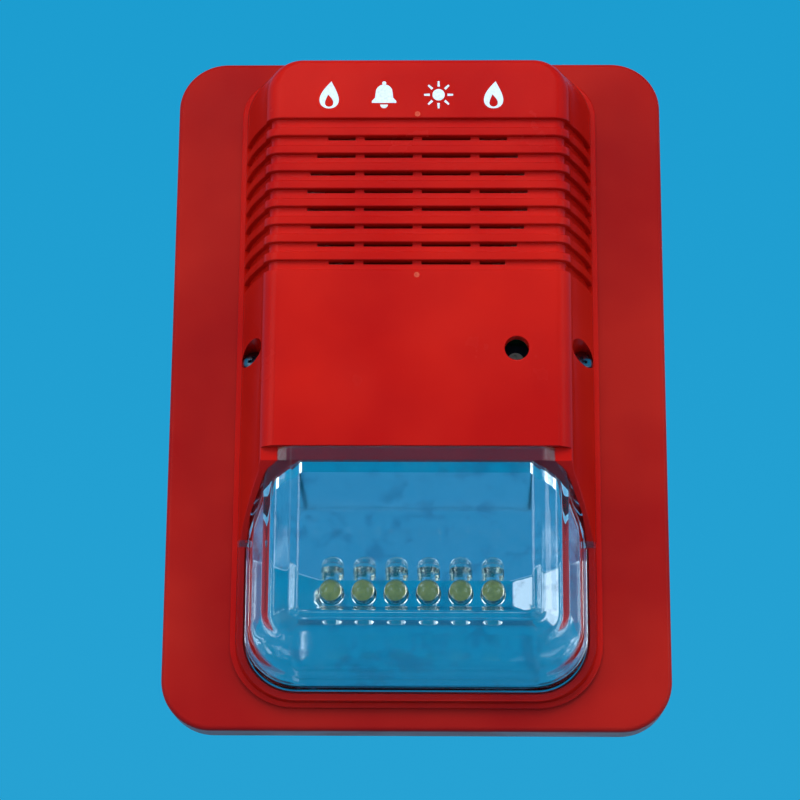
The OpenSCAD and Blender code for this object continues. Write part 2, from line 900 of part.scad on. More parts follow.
module volume_rotor() {
    z1 = board_face + trimmer_h + rotor_out;
    color([0.92, 0.90, 0.84])
        upright()
            difference() {
                post(adjust_x, adjust_y, rotor_r, z1 - rotor_l, z1);
                for (a = [0, 90])
                    translate([adjust_x, adjust_y, z1 - 0.9])
                        rotate([0, 0, a])
                            translate([-rotor_r * 0.75, -0.3, 0])
                                cube([rotor_r * 1.5, 0.6, 2]);
            }
}

function slider_y(i) = switch_y + (i - 0.5) * slider_pitch;
slider_start = switch_x - (slider_l + slider_travel) / 2;

module switch_body() {
    back = board_z - switch_h;
    gap = 0.1;
    color([0.80, 0.10, 0.08])
        upright()
            difference() {
                box(switch_x - switch_w / 2, switch_x + switch_w / 2, switch_y - switch_l / 2,
                    switch_y + switch_l / 2, back, board_z);
                for (i = [0, 1])
                    box(slider_start - gap, slider_start + slider_l + slider_travel + gap,
                        slider_y(i) - slider_w / 2 - gap, slider_y(i) + slider_w / 2 + gap,
                        back - 1, back + slider_h - slider_out + gap);
            }
}

module setting_slider(i) {
    back = board_z - switch_h;
    color([0.95, 0.95, 0.95])
        upright()
            box(slider_start, slider_start + slider_l, slider_y(i) - slider_w / 2, slider_y(i) + slider_w / 2,
                back - slider_out, back + slider_h - slider_out);
}

module tone_slider() {
    setting_slider(1);
}

module flash_slider() {
    setting_slider(0);
}

module capacitors() {
    color([0.14, 0.16, 0.30])
        upright()
            for (x = [-17, -7.5]) {
                post(x, -8, 4, board_face, board_face + 11);
            }
}

module choke() {
    color([0.20, 0.20, 0.21])
        upright()
            union() {
                post(3, -8, 4, board_face, board_face + 1.6);
                post(3, -8, 2.6, board_face + 1.5, board_face + 7);
                post(3, -8, 4, board_face + 6.9, board_face + 8.5);
            }
}

module driver_chip() {
    x = 14;
    y = -8;
    color([0.10, 0.10, 0.10])
        upright()
            union() {
                box(x - 2, x + 2, y - 2.5, y + 2.5, board_face + 0.3, board_face + 1.8);
                for (s = [-1, 1], i = [-1.5 : 1 : 1.5])
                    box(x + s * 2.6 - 0.65, x + s * 2.6 + 0.65, y + i * 1.27 - 0.2, y + i * 1.27 + 0.2,
                        board_face, board_face + 0.6);
            }
}

// An axial piece lying along y: a round body on a thin wire that stands on the board at both ends.
module axial(x, y, body_r, body_l, span) {
    z = board_face + body_r + 0.1;
    translate([x, y - body_l / 2, z])
        rotate([-90, 0, 0])
            cylinder(r = body_r, h = body_l);
    translate([x, y - span / 2, z])
        rotate([-90, 0, 0])
            cylinder(r = 0.3, h = span, $fn = 16);
    for (s = [-1, 1])
        post(x, y + s * (span / 2 - 0.2), 0.45, board_face, z + 0.5);
}

module diodes() {
    color([0.12, 0.12, 0.13])
        upright()
            for (i = [0 : 3])
                axial(-13 + i * 3.6, 3, 1, 3.6, 7.6);
}

module resistors() {
    color([0.80, 0.70, 0.50])
        upright()
            for (i = [0 : 4])
                axial(4 + i * 2.8, 3, 0.8, 4, 7.6);
}

module transistor() {
    color([0.10, 0.10, 0.10])
        upright()
            difference() {
                post(-24, 3, 2.3, board_face + 2.2, board_face + 7);
                box(-30, -20, 1.6 - 3, 1.6, board_face, board_face + 9);
            }
}

module lead_pads() {
    color([0.75, 0.76, 0.78])
        upright()
            for (x = [-24 - 1.27, -24, -24 + 1.27])
                post(x, 3.2, 0.28, board_face, board_face + 2.2, $fn = 16);
}

back_plate();
wall_gasket();
cable_grommet();
threaded_inserts();
front_housing();
clear_lens();
reflector();
cover_screws();
sounder_cup();
sound_plate();
sound_ceramic();
sounder_seal();
sounder_screws();
sounder_leads();
strobe_leds();
led_cores();
led_board();
led_board_screws();
strobe_leads();
main_board();
board_screws();
terminal_block();
terminal_screws();
wire_clamps();
volume_control();
volume_rotor();
switch_body();
tone_slider();
flash_slider();
capacitors();
choke();
driver_chip();
diodes();
resistors();
transistor();
lead_pads();
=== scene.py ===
# %% [markdown]
# # A horn strobe for a fire alarm
#
# The real object is a red plastic cover on a red back plate. Behind the louvres in the cover sits a flat
# piezo sounder, and below it six strobe lights shine into a metallised mirror behind a clear lens.
# The mechanical model already fixes every size and every place. This lesson gives its pieces their final
# meshes and finishes, inside the same frame, so that nothing has to be fitted afterwards.
#
# The first three lines load that model. Each of its bodies is an empty that pieces ride on.

# %% Load the mechanical model
from math import cos, pi, radians, sin, sqrt, tan

import bmesh
import bpy
from mathutils import Matrix, Vector


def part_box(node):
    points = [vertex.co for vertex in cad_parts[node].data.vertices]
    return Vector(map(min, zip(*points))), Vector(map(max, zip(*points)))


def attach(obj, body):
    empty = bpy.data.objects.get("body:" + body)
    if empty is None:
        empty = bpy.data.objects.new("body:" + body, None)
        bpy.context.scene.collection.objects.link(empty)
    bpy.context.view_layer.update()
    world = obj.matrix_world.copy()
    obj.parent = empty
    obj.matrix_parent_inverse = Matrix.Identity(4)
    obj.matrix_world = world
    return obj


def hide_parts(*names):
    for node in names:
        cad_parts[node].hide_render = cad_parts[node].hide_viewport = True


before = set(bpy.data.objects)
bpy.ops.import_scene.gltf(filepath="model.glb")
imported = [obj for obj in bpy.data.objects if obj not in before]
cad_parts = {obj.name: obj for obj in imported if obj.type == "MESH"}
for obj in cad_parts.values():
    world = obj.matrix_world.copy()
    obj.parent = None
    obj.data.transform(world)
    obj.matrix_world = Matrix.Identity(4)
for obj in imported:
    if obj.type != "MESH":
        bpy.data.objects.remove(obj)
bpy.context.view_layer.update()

# %% [markdown]
# ## The working coordinates
#
# A maker measures this cover from the front face of the back plate: x to the right, y up, z towards the
# room, all in millimetres. The frame is in metres with the wall at the back, so one small function turns
# the first into the second. The driving sizes are read from the model's own boxes, so the looks
# follow if the model grows. Sizes that a box can't tell are named here once.

# %% Sizes of the plate and the housing
MM = 0.001
plate_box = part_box("back_plate")
housing_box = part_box("front_housing")
plate_front = -plate_box[0].y
plate_half_w = plate_box[1].x / MM
plate_half_h = plate_box[1].z / MM
plate_t = (plate_front + plate_box[1].y) / MM
half_w = housing_box[1].x / MM
half_h = housing_box[1].z / MM
housing_d = (-housing_box[0].y - plate_front) / MM

PLATE_R = 11
PLATE_WALL = 2.5
WALL = 2.6
LIP_W = 1
LIP_T = 1.2
SIDE_LEAN = 5.6
TOP_LEAN = 1.2
CROWN_DROP = 1.8
SHOULDER_R = 3.7
CROWN_R = 9
FOOT_R = 14
SEAM = 0.2
shoulder_z = housing_d - SHOULDER_R
inner_z = housing_d - WALL
print(f"plate {2 * plate_half_w:.1f} x {2 * plate_half_h:.1f} x {plate_t:.1f} mm")
print(f"housing {2 * half_w:.1f} x {2 * half_h:.1f} mm, standing {housing_d:.1f} mm in front of the plate")


def stand(x, y, z):
    """A point measured from the plate's front face, in millimetres, as a point of the frame."""
    return (x * MM, -plate_front - z * MM, y * MM)


# %% [markdown]
# ## Rings, lofts and lathes
#
# Nearly every moulded part here is a stack of rounded rectangles or of circles. A loft joins such rings
# with quads, which keeps the mesh even and makes every face easy to check. It could also be modelled by
# hand with extrudes and insets, but a rule gives the same corner on the cover, the lens and the mirror,
# and that is what makes the pieces look as if they belong together.

# %% Rings and solids
BEYOND = 90


def ring(half, top, bottom, r_top, r_bottom, z, steps=14):
    """A rounded rectangle at height z, with its own corner radius at the top and at the bottom."""
    corners = [
        (half - r_bottom, bottom + r_bottom, r_bottom, -90),
        (half - r_top, top - r_top, r_top, 0),
        (-half + r_top, top - r_top, r_top, 90),
        (-half + r_bottom, bottom + r_bottom, r_bottom, 180),
    ]
    points = []
    for x, y, r, start in corners:
        for i in range(steps + 1):
            a = radians(start + 90 * i / steps)
            points.append((x + r * cos(a), y + r * sin(a), z))
    return points


def circle(x, y, r, z, steps=48):
    return [(x + r * cos(2 * pi * i / steps), y + r * sin(2 * pi * i / steps), z) for i in range(steps)]


def solid(name, points, faces):
    """A closed mesh with merged points, and with its faces pointing outwards."""
    mesh = bpy.data.meshes.new(name)
    mesh.from_pydata([stand(*p) for p in points], [], faces)
    shape = bmesh.new()
    shape.from_mesh(mesh)
    bmesh.ops.remove_doubles(shape, verts=shape.verts, dist=1e-7)
    bmesh.ops.recalc_face_normals(shape, faces=shape.faces)
    shape.to_mesh(mesh)
    shape.free()
    piece = bpy.data.objects.new(name, mesh)
    bpy.context.scene.collection.objects.link(piece)
    return piece


def loft(name, rings, closed=False):
    """Quads between neighbouring rings. A closed loft joins its last ring to its first, as a hoop does."""
    n = len(rings[0])
    m = len(rings)
    faces = []
    for k in range(m if closed else m - 1):
        a, b = k * n, (k + 1) % m * n
        faces += [(a + i, a + (i + 1) % n, b + (i + 1) % n, b + i) for i in range(n)]
    if not closed:
        faces += [tuple(reversed(range(n))), tuple((m - 1) * n + i for i in range(n))]
    return solid(name, [p for one in rings for p in one], faces)


def lathe(name, profile, x=0.0, y=0.0, steps=48, closed=False):
    """A turned piece on an axis along z. The profile is a list of radius and height."""
    return loft(name, [circle(x, y, max(r, 1e-6), z, steps) for r, z in profile], closed)


def block(name, x0, x1, y0, y1, z0, z1):
    return loft(name, [[(x0, y0, z), (x1, y0, z), (x1, y1, z), (x0, y1, z)] for z in (z0, z1)])


def slab(name, half, top, bottom, r, z0, z1, edge=0.0):
    """A flat rounded rectangle. edge rounds its rim at z1."""
    rings = [ring(half, top, bottom, r, r, z0)]
    for a in (0, 30, 60, 90) if edge else (90,):
        inset = edge * (1 - cos(radians(a)))
        height = z1 - edge * (1 - sin(radians(a)))
        rings.append(ring(half - inset, top - inset, bottom + inset, r - inset, r - inset, height))
    return loft(name, rings)


def across(name, points):
    """A side profile, as points [y, z], drawn across more than the whole width."""
    return loft(name, [[(x, y, z) for y, z in points] for x in (-BEYOND, BEYOND)])


# %% [markdown]
# ## Cutting and joining
#
# Openings are cut with boolean modifiers, as a milling cutter makes them in the mould. The Manifold solver
# is quick and exact on closed meshes, and every cutter here is one. `settle` then turns the result into
# a plain mesh. `round_edges` breaks chosen sharp edges only, because a bevel over a whole cut part would
# also catch the many short edges where two cuts meet.

# %% Boolean and edge helpers
def settle(piece):
    """Makes the modifiers' result the piece's own mesh."""
    graph = bpy.context.evaluated_depsgraph_get()
    mesh = bpy.data.meshes.new_from_object(piece.evaluated_get(graph))
    piece.modifiers.clear()
    piece.data = mesh
    return piece


def combine(piece, others, how):
    for other in others:
        step = piece.modifiers.new(how.lower(), "BOOLEAN")
        step.operation = how
        step.solver = "MANIFOLD"
        step.object = other
    settle(piece)
    for other in others:
        bpy.data.objects.remove(other)
    return piece


def cut(piece, *cutters):
    return combine(piece, cutters, "DIFFERENCE")


def join(piece, *others):
    return combine(piece, others, "UNION")


def keep(piece, *spaces):
    return combine(piece, spaces, "INTERSECT")


def round_edges(piece, width, chosen=None, sharper=30, segments=3):
    """Rounds the edges that turn by more than an angle and whose middle, in maker's measures, is chosen."""
    shape = bmesh.new()
    shape.from_mesh(piece.data)
    picked = []
    for edge in shape.edges:
        if len(edge.link_faces) != 2 or edge.calc_face_angle(0) < radians(sharper):
            continue
        middle = (edge.verts[0].co + edge.verts[1].co) / 2 / MM
        if chosen is None or chosen(middle.x, middle.z, -middle.y - plate_front / MM):
            picked.append(edge)
    bmesh.ops.bevel(shape, geom=picked, offset=width * MM, segments=segments, affect="EDGES", profile=0.5,
                    clamp_overlap=False)
    shape.to_mesh(piece.data)
    shape.free()
    return len(picked)


def dress(piece, body, slot, finish, *nodes, crease=32):
    """Gives a finished mesh its material, its shading and its body, and hides the mechanical nodes it stands
    for.
    """
    if finish is not None:
        piece.data.materials.clear()
        piece.data.materials.append(finish)
    for face in piece.data.polygons:
        face.use_smooth = True
    piece.data.set_sharp_from_angle(angle=radians(crease))
    flat = piece.modifiers.new("even shading", "WEIGHTED_NORMAL")
    flat.keep_sharp = True
    flat.weight = 60
    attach(piece, body)
    if nodes:
        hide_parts(*nodes)
    return piece


# %% [markdown]
# ## Two Geometry Nodes trees for what repeats
#
# Grooves, ribs, lights and nibs stand in even rows, and screws and solder joints stand at chosen points.
# Copying meshes in Python would work too, but a node tree keeps one original: change it, and every
# copy changes. Both trees end by making the copies real and giving them their finish, so the result is
# an ordinary mesh.

# %% The node trees
def new_tree(name, sockets):
    tree = bpy.data.node_groups.new(name, "GeometryNodeTree")
    tree.interface.new_socket("Geometry", in_out="INPUT", socket_type="NodeSocketGeometry")
    for label, kind in sockets:
        tree.interface.new_socket(label, in_out="INPUT", socket_type=kind)
    tree.interface.new_socket("Geometry", in_out="OUTPUT", socket_type="NodeSocketGeometry")
    return tree


def end_tree(tree, start, copies):
    """Instances become real geometry with the finish from the tree's own input."""
    real = tree.nodes.new("GeometryNodeRealizeInstances")
    coat = tree.nodes.new("GeometryNodeSetMaterial")
    end = tree.nodes.new("NodeGroupOutput")
    tree.links.new(copies.outputs["Instances"], real.inputs["Geometry"])
    tree.links.new(real.outputs["Geometry"], coat.inputs["Geometry"])
    tree.links.new(start.outputs["Finish"], coat.inputs["Material"])
    tree.links.new(coat.outputs["Geometry"], end.inputs["Geometry"])


def row_tree():
    tree = new_tree("row of copies", [
        ("Count", "NodeSocketInt"), ("Step", "NodeSocketVector"), ("Finish", "NodeSocketMaterial")])
    start = tree.nodes.new("NodeGroupInput")
    line = tree.nodes.new("GeometryNodeMeshLine")
    copies = tree.nodes.new("GeometryNodeInstanceOnPoints")
    tree.links.new(start.outputs["Count"], line.inputs["Count"])
    tree.links.new(start.outputs["Step"], line.inputs["Offset"])
    tree.links.new(line.outputs["Mesh"], copies.inputs["Points"])
    tree.links.new(start.outputs["Geometry"], copies.inputs["Instance"])
    end_tree(tree, start, copies)
    return tree


def points_tree():
    tree = new_tree("copies on points", [("Piece", "NodeSocketObject"), ("Finish", "NodeSocketMaterial")])
    start = tree.nodes.new("NodeGroupInput")
    original = tree.nodes.new("GeometryNodeObjectInfo")
    size = tree.nodes.new("GeometryNodeInputNamedAttribute")
    size.data_type = "FLOAT_VECTOR"
    size.inputs["Name"].default_value = "size"
    copies = tree.nodes.new("GeometryNodeInstanceOnPoints")
    tree.links.new(start.outputs["Piece"], original.inputs["Object"])
    tree.links.new(start.outputs["Geometry"], copies.inputs["Points"])
    tree.links.new(original.outputs["Geometry"], copies.inputs["Instance"])
    tree.links.new(size.outputs["Attribute"], copies.inputs["Scale"])
    end_tree(tree, start, copies)
    return tree


def grow(piece, tree, values):
    """Runs a tree on a piece and keeps the plain mesh. Inputs are found by name and set by identifier."""
    step = piece.modifiers.new(tree.name, "NODES")
    step.node_group = tree
    for item in tree.interface.items_tree:
        if item.in_out == "INPUT" and item.name in values:
            step[item.identifier] = values[item.name]
    return settle(piece)


ROW = row_tree()
POINTS = points_tree()


def in_row(piece, count, step, finish=None):
    """count copies of a piece, each a step further. The step is x, y and z in millimetres."""
    offset = (step[0] * MM, -step[2] * MM, step[1] * MM)
    return grow(piece, ROW, {"Count": count, "Step": offset, "Finish": finish})


def at_points(name, piece, places, finish=None, sizes=None):
    """Copies of a piece that is made around x 0, y 0, z 0, one at each place."""
    piece.data.transform(Matrix.Translation(-Vector(stand(0, 0, 0))))
    spots = bpy.data.meshes.new(name)
    spots.from_pydata([stand(*p) for p in places], [], [])
    scales = spots.attributes.new("size", "FLOAT_VECTOR", "POINT")
    for i in range(len(places)):
        w, h, d = sizes[i] if sizes else (1, 1, 1)
        scales.data[i].vector = (w, d, h)
    copies = bpy.data.objects.new(name, spots)
    bpy.context.scene.collection.objects.link(copies)
    grow(copies, POINTS, {"Piece": piece, "Finish": finish})
    bpy.data.objects.remove(piece)
    return copies


print("node trees:", ROW.name, "and", POINTS.name)

# %% [markdown]
# ## Building blocks for the finishes
#
# Each finish is one Principled shader with patterns laid over it in Object coordinates, so a pattern keeps
# its real size on every piece and stays put when the piece moves. `shade` adds a node and links or sets
# its inputs in one call. `speckle` is a noise of a given grain in millimetres, and `between` squeezes
# it into a range. Amounts that are the same all over a surface are set straight on the shader.

# %% Shader helpers
def shade(tree, kind, inputs=None, **settings):
    made = tree.nodes.new(kind)
    for key, value in settings.items():
        setattr(made, key, value)
    for key, value in (inputs or {}).items():
        if isinstance(value, bpy.types.NodeSocket):
            tree.links.new(value, made.inputs[key])
        else:
            made.inputs[key].default_value = value
    return made


def new_finish(name, **values):
    """A material with one Principled shader, and the node that gives Object coordinates."""
    finish = bpy.data.materials.new(name)
    finish.use_nodes = True
    tree = finish.node_tree
    shader = tree.nodes["Principled BSDF"]
    for key, value in values.items():
        shader.inputs[key.replace("_", " ")].default_value = value
    place = shade(tree, "ShaderNodeTexCoord").outputs["Object"]
    return finish, tree, shader, place


def speckle(tree, place, grain, detail=2.0, rough=0.5, warp=0.0, stretch=(1, 1, 1)):
    """Noise whose spots are about grain millimetres across."""
    scaled = shade(tree, "ShaderNodeMapping", {"Vector": place, "Scale": stretch}).outputs["Vector"]
    return shade(tree, "ShaderNodeTexNoise", {
        "Vector": scaled, "Scale": 1 / (grain * MM), "Detail": detail, "Roughness": rough, "Distortion": warp,
    }).outputs["Fac"]


def between(tree, value, low, high, to_low=0.0, to_high=1.0):
    return shade(tree, "ShaderNodeMapRange", {
        "Value": value, "From Min": low, "From Max": high, "To Min": to_low, "To Max": to_high,
    }).outputs["Result"]


def blend(tree, amount, first, second):
    """A colour between two. The node has a socket of each name for every data type, and one is enabled."""
    mix = shade(tree, "ShaderNodeMix", data_type="RGBA")
    for label, value in (("Factor", amount), ("A", first), ("B", second)):
        socket = [s for s in mix.inputs if s.name == label and s.enabled][0]
        if isinstance(value, bpy.types.NodeSocket):
            tree.links.new(value, socket)
        else:
            socket.default_value = value
    return [s for s in mix.outputs if s.enabled][0]


def relief(tree, shader, *layers):
    """Bump layers as pairs of a height pattern and its depth in millimetres."""
    normal = None
    for height, depth in layers:
        bump = shade(tree, "ShaderNodeBump", {"Height": height, "Strength": 1.0, "Distance": depth * MM})
        if normal is not None:
            tree.links.new(normal, bump.inputs["Normal"])
        normal = bump.outputs["Normal"]
    tree.links.new(normal, shader.inputs["Normal"])


def rgb(red, green, blue):
    """A colour as seen on screen, 0 to 255, in the linear values that shaders use."""
    linear = [((c / 255 + 0.055) / 1.055) ** 2.4 if c > 10 else c / 255 / 12.92 for c in (red, green, blue)]
    return (*linear, 1.0)


# %% [markdown]
# ## Red moulded plastic
#
# Cover and plate are flame-retardant ABS in signal red. The cover comes from a polished mould and is glossy;
# the plate's mould is a little coarser, so it shines less. Under a lamp both show a faint orange-peel
# waviness, tiny grains in the skin, a few hairline scratches, and dust that has settled on what faces up.
# Painting that into an image would fix its resolution. A few noises of different grain stay sharp from
# any distance and need no unwrapping. The specular level is low, because the bright room would otherwise
# lay a grey veil over the red.

# %% The red plastics
def moulded_red(name, deep, bright, gloss, peel):
    finish, tree, shader, place = new_finish(name, IOR=1.53, Specular_IOR_Level=0.13)
    cloud = between(tree, speckle(tree, place, 34, detail=3), 0.35, 0.65)
    colour = blend(tree, cloud, deep, bright)
    fleck = between(tree, speckle(tree, place, 0.5, detail=1), 0.66, 0.72, 0.0, 0.3)
    colour = blend(tree, fleck, colour, bright)
    facing = shade(tree, "ShaderNodeNewGeometry").outputs["Normal"]
    upward = shade(tree, "ShaderNodeSeparateXYZ", {"Vector": facing}).outputs["Z"]
    settled = between(tree, upward, 0.45, 1.0, 0.0, 0.10)
    lint = between(tree, speckle(tree, place, 0.9, detail=4, rough=0.7), 0.52, 0.75)
    dust = shade(tree, "ShaderNodeMath", {0: settled, 1: lint}, operation="MULTIPLY").outputs[0]
    colour = blend(tree, dust, colour, rgb(176, 140, 132))
    tree.links.new(colour, shader.inputs["Base Color"])
    rough = between(tree, speckle(tree, place, 12, detail=4), 0.3, 0.7, gloss * 0.8, gloss * 1.25)
    tree.links.new(rough, shader.inputs["Roughness"])
    scratch = between(tree, speckle(tree, place, 0.35, detail=1, warp=1.5, stretch=(0.05, 1, 1)), 0.70, 0.78)
    relief(tree, shader,
           (speckle(tree, place, 3.2, detail=1), peel),
           (speckle(tree, place, 0.22, detail=2), 0.0035),
           (scratch, 0.002))
    return finish


cover_red = moulded_red("cover red", rgb(178, 13, 5), rgb(197, 24, 10), 0.22, 0.010)
plate_red = moulded_red("plate red", rgb(158, 12, 6), rgb(177, 27, 14), 0.36, 0.014)
print("red finishes:", cover_red.name, plate_red.name)

# %% [markdown]
# ## Clear lens, light epoxy and mirror
#
# The lens is injection-moulded polycarbonate. It is modelled with its real wall, so its two surfaces bend
# light as the real ones do, and every rounded crease draws a bright line. The mirror behind it is the
# same kind of plastic with a skin of aluminium from a vacuum chamber: a metal shader, with the slight
# waviness and the pale haze spots that such a coat has over a moulded part.

# %% Clear and mirrored finishes
def clear_plastic(name, tint, ior, rough, ripple):
    finish, tree, shader, place = new_finish(name, IOR=ior, Base_Color=tint, Transmission_Weight=1.0)
    smear = between(tree, speckle(tree, place, 9, detail=4), 0.45, 0.8, rough, rough * 3 + 0.02)
    tree.links.new(smear, shader.inputs["Roughness"])
    relief(tree, shader,
           (speckle(tree, place, 7, detail=1), ripple),
           (speckle(tree, place, 0.8), ripple * 0.05))
    return finish


def mirror_coat():
    finish, tree, shader, place = new_finish("mirror plating", Metallic=1.0)
    patch = between(tree, speckle(tree, place, 5.5, detail=3, rough=0.6), 0.52, 0.66)
    haze = between(tree, speckle(tree, place, 14, detail=2), 0.45, 0.7)
    colour = blend(tree, patch, rgb(224, 233, 238), rgb(196, 207, 218))
    tree.links.new(colour, shader.inputs["Base Color"])
    rough = shade(tree, "ShaderNodeMath", {
        0: between(tree, patch, 0, 1, 0.035, 0.11),
        1: between(tree, haze, 0, 1, 0.0, 0.08),
    }, operation="ADD").outputs[0]
    tree.links.new(rough, shader.inputs["Roughness"])
    relief(tree, shader,
           (speckle(tree, place, 6, detail=1), 0.035),
           (speckle(tree, place, 1.1, detail=3), 0.003))
    return finish


lens_clear = clear_plastic("lens clear", (0.97, 0.99, 1.0, 1.0), 1.5, 0.0, 0.006)
led_epoxy = clear_plastic("led epoxy", (0.96, 0.98, 0.90, 1.0), 1.45, 0.01, 0.001)
mirror_plating = mirror_coat()


# %% [markdown]
# ## Metals, rubbers and the plain plastics inside
#
# Steel, brass and tin differ in colour, in how rough they are and in the marks that their making leaves:
# turned parts carry fine rings, stamped ones a drawn grain, solder a frosty skin. Rubber and foam are
# dull and pitted. Small plastic housings are moulded like the cover, only coarser. Two functions with
# a few measures each cover them all. The sounder's disc gets a dark brass as painted shade, so that the
# slots in front of it read as shadow, and the trimmer a nearly black blue as painted shade in its hole.

# %% Metals and dull finishes
def metal(name, light, dark, rough, grain, stretch=(1, 1, 1), depth=0.004):
    finish, tree, shader, place = new_finish(name, Metallic=1.0)
    mark = speckle(tree, place, grain, detail=3, stretch=stretch)
    stain = between(tree, speckle(tree, place, 4, detail=4), 0.4, 0.75)
    tree.links.new(blend(tree, stain, light, dark), shader.inputs["Base Color"])
    tree.links.new(between(tree, mark, 0.3, 0.7, rough * 0.7, rough * 1.4), shader.inputs["Roughness"])
    relief(tree, shader, (mark, depth))
    return finish


def dull(name, light, dark, rough, grain, depth, spots=3.0, **more):
    finish, tree, shader, place = new_finish(name, **more)
    cloud = between(tree, speckle(tree, place, spots, detail=4), 0.35, 0.7)
    pit = speckle(tree, place, grain, detail=3, rough=0.6)
    tree.links.new(blend(tree, cloud, light, dark), shader.inputs["Base Color"])
    shine = between(tree, pit, 0.3, 0.7, rough * 0.85, min(1.0, rough * 1.15))
    tree.links.new(shine, shader.inputs["Roughness"])
    relief(tree, shader, (pit, depth))
    return finish


screw_steel = metal("screw steel", rgb(150, 152, 156), rgb(104, 106, 112), 0.34, 0.25)
# The disc's brass is darkened as painted shade, so the slots in front of it read as shadow.
shade_darkened_brass = metal("brass darkened as painted shade", rgb(96, 76, 44), rgb(64, 50, 30), 0.5, 0.3)
brass = metal("brass", rgb(214, 178, 96), rgb(168, 130, 62), 0.25, 0.3, stretch=(1, 1, 0.1))
tin = metal("tinned legs", rgb(205, 207, 210), rgb(160, 163, 168), 0.34, 0.2)
lead_frame = metal("light frame metal", rgb(222, 220, 205), rgb(180, 178, 150), 0.22, 0.3)
ceramic_silver = metal("silvered ceramic", rgb(214, 212, 204), rgb(178, 176, 168), 0.45, 0.4)
foam_grey = dull("gasket foam", rgb(104, 106, 110), rgb(78, 80, 84), 0.95, 0.35, 0.08, spots=1.2)
rubber_black = dull("grommet rubber", rgb(26, 26, 27), rgb(40, 39, 38), 0.62, 0.3, 0.012)
cup_black = dull("cup black", rgb(30, 30, 32), rgb(22, 22, 24), 0.42, 0.25, 0.01)
seal_white = dull("seal white", rgb(214, 212, 204), rgb(196, 192, 182), 0.7, 0.3, 0.01)
lead_black = dull("black lead", rgb(24, 24, 25), rgb(34, 34, 35), 0.45, 0.4, 0.004)
lead_red = dull("red lead", rgb(178, 22, 18), rgb(150, 16, 14), 0.45, 0.4, 0.004)
terminal_green = dull("terminal green", rgb(22, 116, 74), rgb(16, 98, 62), 0.4, 0.2, 0.008)
# Nearly black blue: painted shade on the trimmer, seen through its hole in the cover.
trimmer_blue = dull("trimmer blue darkened as painted shade", rgb(30, 36, 52), rgb(22, 26, 40), 0.38, 0.2, 0.006)
rotor_ivory = dull("rotor ivory", rgb(232, 228, 212), rgb(214, 208, 188), 0.42, 0.2, 0.004)
switch_red = dull("switch red", rgb(190, 24, 18), rgb(164, 18, 14), 0.4, 0.2, 0.006)
slider_white = dull("slider white", rgb(240, 240, 238), rgb(224, 224, 220), 0.4, 0.2, 0.004)
can_sleeve = dull("can sleeve", rgb(28, 32, 74), rgb(20, 24, 60), 0.28, 0.6, 0.004)
ferrite = dull("ferrite", rgb(46, 46, 48), rgb(34, 34, 36), 0.55, 0.2, 0.02)
chip_black = dull("chip black", rgb(28, 28, 29), rgb(20, 20, 21), 0.6, 0.12, 0.012)
resistor_tan = dull("resistor tan", rgb(206, 178, 128), rgb(186, 156, 104), 0.4, 0.5, 0.006)
print("finishes so far:", len(bpy.data.materials))

# %% [markdown]
# ## The circuit boards
#
# A fibreglass board under green solder mask isn't one green: copper tracks show through as lighter, slightly
# raised lines, and the weave gives a fine ripple. Straight tracks of random lengths come from two
# stretched Voronoi patterns crossed over each other.

# %% Board finish
def solder_mask():
    finish, tree, shader, place = new_finish("board green", Coat_Weight=0.5, Coat_Roughness=0.12, IOR=1.5)
    tracks = []
    for stretch in ((0.16, 1, 1), (1, 1, 0.16)):
        scaled = shade(tree, "ShaderNodeMapping", {"Vector": place, "Scale": stretch}).outputs["Vector"]
        cells = shade(tree, "ShaderNodeTexVoronoi", {"Vector": scaled, "Scale": 520.0}, distance="CHEBYCHEV")
        tracks.append(between(tree, cells.outputs["Distance"], 0.34, 0.38, 1.0, 0.0))
    copper = shade(tree, "ShaderNodeMath", {0: tracks[0], 1: tracks[1]}, operation="MAXIMUM").outputs[0]
    colour = blend(tree, copper, rgb(14, 70, 36), rgb(30, 108, 56))
    tree.links.new(colour, shader.inputs["Base Color"])
    weave = speckle(tree, place, 0.5, detail=1)
    tree.links.new(between(tree, weave, 0.3, 0.7, 0.3, 0.45), shader.inputs["Roughness"])
    relief(tree, shader, (copper, 0.035), (weave, 0.006))
    return finish


board_green = solder_mask()
print("board finish:", board_green.name)

# %% [markdown]
# ## The cover's outer form
#
# The cover rises from a thin lip at the seam, leans in a little with a bulged side, and turns over a rounded
# shoulder into the flat front. One ring per height describes all of that: `lean` says how far the side
# has come in, `shoulder` follows the quarter circle. Many close rings keep the shoulder's highlight
# smooth, which a few rings and shading alone would not.

# %% Rules of the outer form
def lean(z):
    return min(max(z / shoulder_z, 0.0), 1.0) ** 1.5


def shoulder(z):
    return 0.0 if z <= shoulder_z else 1 - sqrt(max(0.0, 1 - ((z - shoulder_z) / SHOULDER_R) ** 2))


def side_x(z):
    return half_w - LIP_W - SIDE_LEAN * lean(z) - SHOULDER_R * shoulder(z)


def crown_y(z):
    return half_h - LIP_W - TOP_LEAN * lean(z) - CROWN_DROP * shoulder(z)


def housing_ring(z, shrink=0.0, lift=None):
    r_top = CROWN_R - LIP_W - (SHOULDER_R - 0.5) * shoulder(z) - shrink / 2
    r_foot = FOOT_R - LIP_W - SHOULDER_R * shoulder(z) - shrink / 2
    height = z - shrink if lift is None else lift
    return ring(side_x(z) - shrink, crown_y(z) - shrink, -crown_y(z) + shrink, r_top, r_foot, height)


def lip_ring(inset, z):
    return ring(half_w - inset, half_h - inset, -half_h + inset, CROWN_R - inset, FOOT_R - inset, z)


def heights_from(z, slope_steps, arc_step):
    """Heights from z up the slope, then around the shoulder's quarter circle."""
    slope = [z + (shoulder_z - z) * i / slope_steps for i in range(slope_steps)]
    return slope + [shoulder_z + SHOULDER_R * sin(radians(a)) for a in range(0, 91, arc_step)]


